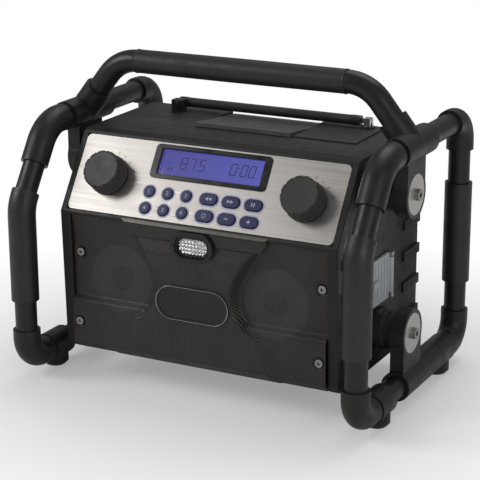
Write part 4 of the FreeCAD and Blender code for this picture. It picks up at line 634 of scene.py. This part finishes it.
def relief(x, z):
    """The grille's front as a distance towards the viewer: at each point the foremost of the side's
    stepped profile and the raised centre, whose edge slopes, runs round each speaker as an arc and leans
    outwards below and above it. The arc's points are rounded to a tenth of a millimetre, halves downwards.
    Each screw stands in a dish with a sloping wall."""
    side = np.interp(z, [GRILLE_FOOT, 46, 95.5, 101.5, 171.5, GRILLE_TOP], [110, 117, 117, 110, 110, 114])
    centre = np.interp(z, [GRILLE_FOOT, 48, 168, 183, GRILLE_TOP], [112, 122, 122, 116, 116])
    turn = np.radians(np.arange(-75, 31, 15))
    arc_radius = 41.5
    arc = np.stack([SPEAKER_X - arc_radius * np.cos(turn), SPEAKER_Z + arc_radius * np.sin(turn)])
    arc_x, arc_z = np.ceil(arc * 10 - 0.5) / 10
    edge = np.interp(z, [GRILLE_FOOT, *arc_z, 170.5, GRILLE_TOP], [107, *arc_x, 72, 90])
    slope_start = 107
    slope_run = 0.7
    face = np.maximum(side, np.minimum(centre, slope_start + (edge - np.abs(x)) / slope_run))
    for height in SCREW_HEIGHTS:
        reach = np.hypot(np.abs(x) - SCREW_X, z - height)
        face = face - np.clip(DISH_RADIUS - reach, 0, DISH_DEPTH)
    return face


def blurred(values):
    """Replace a value by a quarter, a half and a quarter of three neighbours, down and then across."""
    padded = np.pad(values, 1, mode="edge")
    values = padded[:-2, 1:-1] / 4 + padded[1:-1, 1:-1] / 2 + padded[2:, 1:-1] / 4
    padded = np.pad(values, 1, mode="edge")
    return padded[1:-1, :-2] / 4 + padded[1:-1, 1:-1] / 2 + padded[1:-1, 2:] / 4


class RADIO_OT_grille(bpy.types.Operator):
    """Press the pierced front sheet: a relief over a grid, given its thickness and open round the lamp"""

    bl_idname = "radio.grille"
    bl_label = "Grille"

    def execute(self, context):
        step = sizes().mesh_step / MM
        across = np.linspace(-GRILLE_HALF, GRILLE_HALF, int(2 * GRILLE_HALF / step) + 1)
        upward = np.linspace(GRILLE_FOOT, GRILLE_TOP, int((GRILLE_TOP - GRILLE_FOOT) / step) + 1)
        x, z = np.meshgrid(across, upward)
        front = np.stack([x, -blurred(relief(x, z)), z], -1).reshape(-1, 3)
        back = front + [0, sizes().sheet / MM, 0]
        quads = grid_quads(*x.shape)
        opening = within_oval(x, z - LAMP_Z, LAMP_HALF, LAMP_OPENING).reshape(-1)
        quads = quads[~opening[quads].all(1)]
        edges = np.concatenate([quads[:, [i, (i + 1) % 4]] for i in range(4)])
        _, first, count = np.unique(np.sort(edges, 1), axis=0, return_index=True, return_counts=True)
        start, stop = edges[first[count == 1]].T
        walls = np.column_stack([stop, start, start + x.size, stop + x.size])
        faces = np.vstack([quads, quads[:, ::-1] + x.size, walls])
        used = np.unique(faces)
        order = np.full(2 * x.size, -1)
        order[used] = np.arange(len(used))
        points = np.vstack([front, back])[used] * MM
        finish = pierced("pierced sheet", colours().grille, sizes().hole_pitch)
        piece("grille_pressing", points, order[faces].tolist(), finish, "radio", "grille", ("grille",))
        return {"FINISHED"}


class RADIO_OT_lamp(bpy.types.Operator):
    """Make the lamp's faceted lens and its reflector, and finish its housing"""

    bl_idname = "radio.lamp"
    bl_label = "Work lamp"

    def execute(self, context):
        clad(["lamp_housing"], moulded("lamp housing", (0.012, 0.012, 0.012), 0.35, wear=0.4))
        clad(["lamp_lens"], glassy("lamp window", 0.02))
        soften(["lamp_housing"], 0.0006)
        mirror = polished("facet mirror", (0.92, 0.92, 0.92), 0.12)
        points, faces = self.facets(pitch=4.1, half=1.95, tip=1.35, foot=-0.5)
        laid = facing_front(points, 0, REFLECTOR_Y, LAMP_Z)
        piece("lamp_facets", laid, faces, mirror, "radio", "bright", smooth=False)
        outline, _ = round_outline(LAMP_HALF, 12.3, 96)
        points, faces = slab_of([outline], -1.0, -0.5)
        laid = facing_front(points, 0, REFLECTOR_Y, LAMP_Z)
        reflector = polished("reflector", (0.75, 0.75, 0.75), 0.25)
        piece("lamp_reflector", laid, faces, reflector, "radio", "bright", smooth=False)
        return {"FINISHED"}

    def facets(self, pitch, half, tip, foot):
        """Square pyramids on square feet, one at each point of a lattice that lies within an oval.
        Each has four corners and a tip in front, and four corners behind."""
        x, z = np.meshgrid(np.arange(-4, 5) * pitch, np.arange(-2, 3) * pitch)
        centre = np.column_stack([x.ravel(), z.ravel()])
        centre = centre[within_oval(centre[:, 0], centre[:, 1], LAMP_HALF, 10.4)]
        corners = centre[:, None] + np.array([[-1, -1], [1, -1], [1, 1], [-1, 1]]) * half
        flat = np.concatenate([corners, centre[:, None]], 1).reshape(-1, 2)
        front = np.column_stack([flat, np.tile([0.0, 0.0, 0.0, 0.0, tip], len(centre))])
        back = np.column_stack([corners.reshape(-1, 2), np.full(len(centre) * 4, foot)])
        first = np.arange(len(centre)) * 5
        behind = len(front) + np.arange(len(centre)) * 4
        faces = []
        for turn in range(4):
            after = (turn + 1) % 4
            faces += np.column_stack([first + turn, first + after, first + 4]).tolist()
            faces += np.column_stack([first + after, first + turn, behind + turn, behind + after]).tolist()
        faces += np.column_stack([behind + 3, behind + 2, behind + 1, behind]).tolist()
        return np.vstack([front, back]), faces


def notched(radius, height, angle):
    """Grooves round a dial: at each finger notch a cosine to the sixth power, deeper towards the face and
    only near the rim, and fine ribs as a faster cosine on the side."""
    count = sizes().notches
    notch = np.clip(np.cos(angle * count), 0, 1) ** 6
    share = np.clip((height - 14.0) / 5.0, 0, 1) * (radius > 20.0)
    ribs = np.cos(angle * count * 6) * (radius > 21.5) * (height > 5.0)
    return -1.3 * notch * share + 0.16 * ribs


class RADIO_OT_dials(bpy.types.Operator):
    """Turn the two dials: skirt, ribbed side, notched rim and a dished face"""

    bl_idname = "radio.dials"
    bl_label = "Dials"

    def execute(self, context):
        finish = moulded("dial", (0.03, 0.029, 0.027), 0.42, grain=1800, worn=2.0)
        bore = [(0.0, 17.0), (3.06, 17.0), (3.06, 1.2)]
        skirt = [(23.0, 1.2), (23.3, 1.5), (23.3, 3.9), (22.7, 4.3), (22.5, 4.8)]
        rise = np.linspace(5.2, 20.0, 12)
        side = np.column_stack([22.5 - (rise - 5.2) * 0.04, rise])
        rim = [(21.7, 20.9), (21.3, 21.5), (20.6, 21.9), (19.8, 22.0)]
        dish = [(19.4, 21.8), (19.2, 21.5), (12.0, 21.35), (5.0, 21.3), (0.0, 21.3)]
        points, faces = turned(np.vstack([bore, skirt, side, rim, dish]), 432, notched)
        for body, across in DIALS.items():
            laid = on_panel(points, across, DIAL_ALONG)
            piece(body + "_cap", laid, faces, finish, body, "dial", (body,), angle=50)
        return {"FINISHED"}


def arrow(width, height, way=1):
    """A triangle that points right, or left where way is -1."""
    corners = [[-way * width / 2, -height / 2], [way * width / 2, 0], [-way * width / 2, height / 2]]
    return np.array(corners)[::way]


def bar(width, height, x=0.0, y=0.0):
    """A rectangle about a point."""
    return np.array([[-1, -1], [1, -1], [1, 1], [-1, 1]]) * [width / 2, height / 2] + [x, y]


def key_signs():
    """Six plain signs: back, forward, pause, a ring, minus and plus."""
    ring, out = round_outline(0.0, 2.3, 24)
    flat = [
        [arrow(3.6, 4.2, -1) - [1.8, 0], arrow(3.6, 4.2, -1) + [2.2, 0]],
        [arrow(3.6, 4.2) - [2.2, 0], arrow(3.6, 4.2) + [1.8, 0]],
        [bar(1.2, 4.2, -1.4), bar(1.2, 4.2, 1.4)],
        [bar(4.4, 1.1)],
        [bar(4.4, 1.1), bar(1.1, 1.65, 0, 1.375), bar(1.1, 1.65, 0, -1.375)],
    ]
    signs = [slab_of(outlines, 0, SIGN_THICK) for outlines in flat]
    signs.insert(3, carried_ring(ring, out, [(-0.3, 0), (0.3, 0), (0.3, SIGN_THICK), (-0.3, SIGN_THICK)]))
    return signs


class RADIO_OT_keys(bpy.types.Operator):
    """Finish the twelve keys, ring them and print a digit or plain sign on each"""

    bl_idname = "radio.keys"
    bl_label = "Keys"

    def execute(self, context):
        cap = moulded("key cap", colours().keys, 0.32, grain=1500, depth=0.00002, worn=2.0)
        legend = printed("key legend", (0.42, 0.42, 0.68))
        halo = printed("key surround", (0.50, 0.49, 0.68), 0.35)
        section = [(0.4, -0.4), (2.0, -0.4), (2.0, 0.1), (1.7, 0.42), (1.0, 0.5), (0.5, 0.35)]
        signs = key_signs()
        rings = []
        for index in range(6):
            body = f"preset_key_{index + 1}"
            clad([body], cap)
            points, faces = lettering(str(index + 1), sizes().digit_height / MM)
            laid = on_panel(points, *ROUND_KEYS[index], KEY_TOP + 0.03)
            piece(body + "_digit", laid, faces, legend, body, "round_key", smooth=False)
            points, faces = carried_ring(*round_outline(0.0, KEY_RADIUS, 48), section)
            rings.append((on_panel(points, *ROUND_KEYS[index]), faces))
            body = f"mode_key_{index + 1}"
            clad([body], cap)
            points, faces = signs[index]
            laid = on_panel(points, *OVAL_KEYS[index], KEY_TOP - 0.04)
            piece(body + "_sign", laid, faces, legend, body, "oval_key", smooth=False)
            points, faces = carried_ring(*round_outline(OVAL_KEY_HALF, KEY_RADIUS, 64), section)
            rings.append((on_panel(points, *OVAL_KEYS[index]), faces))
        piece("key_surrounds", *joined(rings), halo, "radio", "round_key")
        return {"FINISHED"}


# The bars of each digit, and each bar's two ends as shares of the digit's width and height
SEGMENTS = {
    "0": "abcdef", "1": "bc", "2": "abged", "3": "abgcd", "4": "fgbc",
    "5": "afgcd", "6": "afgedc", "7": "abc", "8": "abcdefg", "9": "abcdfg",
}
SEGMENT_ENDS = {
    "a": ((0, 1), (1, 1)), "b": ((1, 0.5), (1, 1)), "c": ((1, 0), (1, 0.5)), "d": ((0, 0), (1, 0)),
    "e": ((0, 0), (0, 0.5)), "f": ((0, 0.5), (0, 1)), "g": ((0, 0.5), (1, 0.5)),
}


def segment_bar(start, stop, thick):
    """A bar between two points as a six-cornered strip with pointed ends."""
    run = (stop - start) / np.linalg.norm(stop - start)
    off = np.array([-run[1], run[0]]) * thick / 2
    tip = run * 0.1 * thick
    near = start + run * thick * 0.65
    far = stop - run * thick * 0.65
    return np.array([start + tip, near - off, far - off, stop - tip, far + off, near + off])


def segment_digits(text, height, gap):
    """Outlines of seven-bar digits, and their whole width. All lean by a tenth of their height."""
    wide = height * 0.5
    thick = height * 0.075
    outlines = []
    left = 0.0
    for sign in text:
        if sign in SEGMENTS:
            for key in SEGMENTS[sign]:
                start, stop = (np.array(end) * [wide, height] + [left, 0] for end in SEGMENT_ENDS[key])
                outlines.append(segment_bar(start, stop, thick))
            left += wide + gap
        else:
            spots = (0.3, 0.7) if sign == ":" else (0.05,)
            outlines += [bar(thick, thick, left, height * spot) for spot in spots]
            left += height * 0.22
    return [outline + outline[:, 1:] * [0.1, 0] for outline in outlines], left


class RADIO_OT_display(bpy.types.Operator):
    """Light the display and write plain digits on it"""

    bl_idname = "radio.display"
    bl_label = "Display"

    def execute(self, context):
        clad(["lcd_module"], lit_display("lit display", colours().display))
        clad(["display_lens"], glassy("display window"))
        surround = moulded("display frame", (0.008, 0.008, 0.008), 0.2, grain=1500, depth=0.00001, wear=0.3)
        clad(["display_frame"], surround)
        soften(["display_frame"], 0.0004)
        ink = printed("display ink", (0.006, 0.006, 0.045), 0.4)
        height, gap, foot = 13.0, 3.4, -5.5
        station, _ = segment_digits("87.5", height, gap)
        clock, clock_width = segment_digits("0:00", height, gap)
        outlines = [outline + [-38.0, foot] for outline in station]
        outlines += [outline + [56.0 - clock_width, foot] for outline in clock]
        outlines += [bar(2.4, 2.4, -52, -7), bar(1.2, 3.6, -47.5, -6.4)]
        points, faces = slab_of(outlines, 0.0, 0.1)
        laid = on_panel(points, 0, DISPLAY_ALONG, -DISPLAY_DEPTH)
        piece("display_digits", laid, faces, ink, "radio", "display", smooth=False)
        return {"FINISHED"}


class RADIO_OT_panel(bpy.types.Operator):
    """Brush the control plate and print the dials' scales on it"""

    bl_idname = "radio.panel"
    bl_label = "Control plate"

    def execute(self, context):
        clad(["fascia_plate"], brushed("brushed plate", colours().plate))
        soften(["fascia_plate"], 0.0003)
        outlines = []
        for across in DIALS.values():
            outlines += [tick + [across, DIAL_ALONG] for tick in self.ticks()]
            side, high = 29.5, DIAL_ALONG + 8
            outlines.append(bar(3.2, 0.7, across - side, high))
            outlines.append(bar(3.2, 0.7, across + side, high))
            outlines.append(bar(0.7, 3.2, across + side, high))
        points, faces = slab_of(outlines, -0.03, 0.05)
        ink = printed("scale ink", (0.03, 0.028, 0.025))
        piece("dial_scales", on_panel(points), faces, ink, "radio", "plate", smooth=False)
        return {"FINISHED"}

    def ticks(self):
        """Short strokes over the top of a dial, every 20 degrees, with every other one longer."""
        outlines = []
        for degrees in range(20, 161, 20):
            turn = math.radians(degrees)
            out = np.array([math.cos(turn), math.sin(turn)])
            side = np.array([-out[1], out[0]]) * 0.35
            inner = out * 26.0
            outer = out * (28.6 if degrees % 40 else 29.8)
            outlines.append(np.array([inner - side, outer - side, outer + side, inner + side]))
        return outlines


class RADIO_OT_badge(bpy.types.Operator):
    """Finish the bare oval badge and run its thin bright rim round it"""

    bl_idname = "radio.badge"
    bl_label = "Badge"

    def execute(self, context):
        face = moulded("badge", (0.012, 0.012, 0.012), 0.24, grain=1500, depth=0.00001, wear=0.3)
        clad(["name_badge"], face)
        soften(["name_badge"], 0.0004)
        turn = np.arange(8) * np.pi / 4
        wire = 0.45
        section = np.column_stack([np.cos(turn) * wire - 0.4, np.sin(turn) * wire])
        points, faces = carried_ring(*round_outline(BADGE_HALF, BADGE_RADIUS, 160), section)
        rim = polished("badge rim", (0.42, 0.42, 0.42), 0.2)
        piece("badge_rim", facing_front(points, 0, BADGE_Y, BADGE_Z), faces, rim, "radio", "bright")
        return {"FINISHED"}


class RADIO_OT_antenna(bpy.types.Operator):
    """Turn the whip's rubber and grooved boot, and polish its fork"""

    bl_idname = "radio.antenna"
    bl_label = "Antenna"

    def execute(self, context):
        clad(["antenna_swivel"], polished("bright fork", (0.75, 0.75, 0.74), 0.1))
        clad(["antenna_whip"], self.whip_finish())
        boot, groove = 5.98, 5.38
        profile = [(0.0, -0.06), (boot, 0.0)]
        for start in (3.2, 6.8, 10.4):
            profile += [(boot, start - 0.2), (groove, start), (groove, start + 1.2), (boot, start + 1.4)]
        profile += [(5.62, 12.6), (5.60, 40.0), (5.57, 120.0), (5.60, 222.0)]
        profile += [(5.95, 224.0), (6.0, 230.0), (5.75, 232.6), (4.6, 234.1), (0.0, 234.3)]
        points, faces = turned(profile, 64)
        laid = stand(points, WHIP_START, (0, 1, 0), (0, 0, 1), (-1, 0, 0))
        outward = [cell[::-1] for cell in faces]
        rubber = rubbery("whip rubber", (0.022, 0.021, 0.02), 0.5)
        piece("whip_rubber", laid, outward, rubber, "antenna_whip", "whip", angle=50)
        return {"FINISHED"}

    def whip_finish(self):
        """Bright metal at the jointed end and dark rubber beyond it, parted by the place along the whip."""
        look = Finish("whip under the rubber")
        metal = look.spread(look.apart(look.place)[0], 0.1125, 0.1128, 0.0, 1.0)
        marks = look.noise(70, 4)
        bright = look.mix(look.middle(marks, 0, 1), (0.62, 0.62, 0.61, 1), (0.74, 0.74, 0.73, 1))
        base = look.mix(metal, (0.02, 0.019, 0.018, 1), bright)
        look.set(base_color=base, metallic=metal, roughness=look.middle(marks, 0.12, 0.22))
        return look.material


class RADIO_OT_stage(bpy.types.Operator):
    """Lay the floor, light the scene and set the camera"""

    bl_idname = "radio.stage"
    bl_label = "Stage"

    def execute(self, context):
        context.scene.view_settings.view_transform = "Standard"
        self.floor(context.scene)
        self.world(context.scene)
        for name, place, size, power in LIGHTS:
            self.light(context.scene, name, place, size, power)
        self.camera(context.scene)
        return {"FINISHED"}

    def floor(self, scene):
        """One wide square."""
        corners = [(x * FLOOR_HALF, y * FLOOR_HALF, 0) for x, y in ((-1, -1), (1, -1), (1, 1), (-1, 1))]
        mesh = bpy.data.meshes.new("floor")
        mesh.from_pydata(corners, [], [(0, 1, 2, 3)])
        floor = bpy.data.objects.new("floor", mesh)
        scene.collection.objects.link(floor)
        mesh.materials.append(self.floor_finish())

    def floor_finish(self):
        """Pale floor that fades to plain white away from the radio."""
        look = Finish("pale floor")
        look.set(base_color=(0.9, 0.9, 0.9, 1), roughness=0.9)
        reach = look.node("ShaderNodeVectorMath", {0: look.place}, operation="LENGTH").outputs["Value"]
        seen = look.node("ShaderNodeLightPath").outputs["Is Camera Ray"]
        share = look.math("MULTIPLY", look.spread(reach, 0.24, 0.55, 0.3, 1.0), seen)
        white = look.node("ShaderNodeEmission", {"Color": WHITE, "Strength": 1.0})
        both = look.node("ShaderNodeMixShader", {0: share, 1: look.shader.outputs[0], 2: white.outputs[0]})
        look.put(look.out.inputs["Surface"], both.outputs[0])
        return look.material

    def world(self, scene):
        """White where the camera sees it, and a plain grey as light on the radio."""
        world = bpy.data.worlds.new("studio")
        scene.world = world
        world.use_nodes = True
        tree = world.node_tree
        seen = tree.nodes.new("ShaderNodeLightPath").outputs["Is Camera Ray"]
        shown = tree.nodes.new("ShaderNodeMix")
        shown.data_type = "RGBA"
        shown.inputs[6].default_value = AMBIENT
        shown.inputs[7].default_value = WHITE
        tree.links.new(seen, shown.inputs[0])
        tree.links.new(shown.outputs[2], tree.nodes["Background"].inputs["Color"])
        tree.nodes["Background"].inputs["Strength"].default_value = 1.0

    def light(self, scene, name, place, size, power):
        """A square area light aimed at the radio."""
        data = bpy.data.lights.new(name, "AREA")
        data.size = size
        data.energy = power
        light = bpy.data.objects.new(name, data)
        scene.collection.objects.link(light)
        light.location = place
        light.rotation_euler = (LIGHTS_AIM - Vector(place)).to_track_quat("-Z", "Y").to_euler()

    def camera(self, scene):
        """Aim at the target, and then roll about the line of sight."""
        camera = bpy.data.objects.new("camera", bpy.data.cameras.new("camera"))
        scene.collection.objects.link(camera)
        turn = (CAMERA_TARGET - CAMERA_PLACE).to_track_quat("-Z", "Y").to_matrix()
        camera.location = CAMERA_PLACE
        camera.rotation_euler = (turn @ Matrix.Rotation(CAMERA_ROLL, 3, "Z")).to_euler()
        camera.data.lens = CAMERA_LENS
        camera.data.sensor_width = SENSOR_WIDTH
        camera.data.clip_end = 100
        scene.camera = camera


OPERATORS = (
    RADIO_OT_stage, RADIO_OT_cage, RADIO_OT_grip, RADIO_OT_cabinet, RADIO_OT_hardware, RADIO_OT_grille,
    RADIO_OT_lamp, RADIO_OT_dials, RADIO_OT_keys, RADIO_OT_display, RADIO_OT_panel, RADIO_OT_badge,
    RADIO_OT_antenna,
)


class RADIO_PT_sidebar(bpy.types.Panel):
    """The radio's colours, sizes and pieces"""

    bl_idname = "RADIO_PT_sidebar"
    bl_label = "Jobsite radio"
    bl_space_type = "VIEW_3D"
    bl_region_type = "UI"
    bl_category = "Radio"

    def draw(self, context):
        for group in (context.scene.radio_colours, context.scene.radio_sizes):
            for key in group.__annotations__:
                self.layout.prop(group, key)
        for operator in OPERATORS:
            self.layout.operator(operator.bl_idname)


CLASSES = (RadioColours, RadioSizes, *OPERATORS, RADIO_PT_sidebar)


def register():
    for item in CLASSES:
        bpy.utils.register_class(item)
    bpy.types.Scene.radio_colours = PointerProperty(type=RadioColours)
    bpy.types.Scene.radio_sizes = PointerProperty(type=RadioSizes)


def unregister():
    del bpy.types.Scene.radio_sizes
    del bpy.types.Scene.radio_colours
    for item in reversed(CLASSES):
        bpy.utils.unregister_class(item)


def main():
    """Register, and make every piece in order."""
    register()
    for operator in OPERATORS:
        group, action = operator.bl_idname.split(".")
        getattr(getattr(bpy.ops, group), action)()
    bpy.context.view_layer.update()


if __name__ == "__main__":
    main()
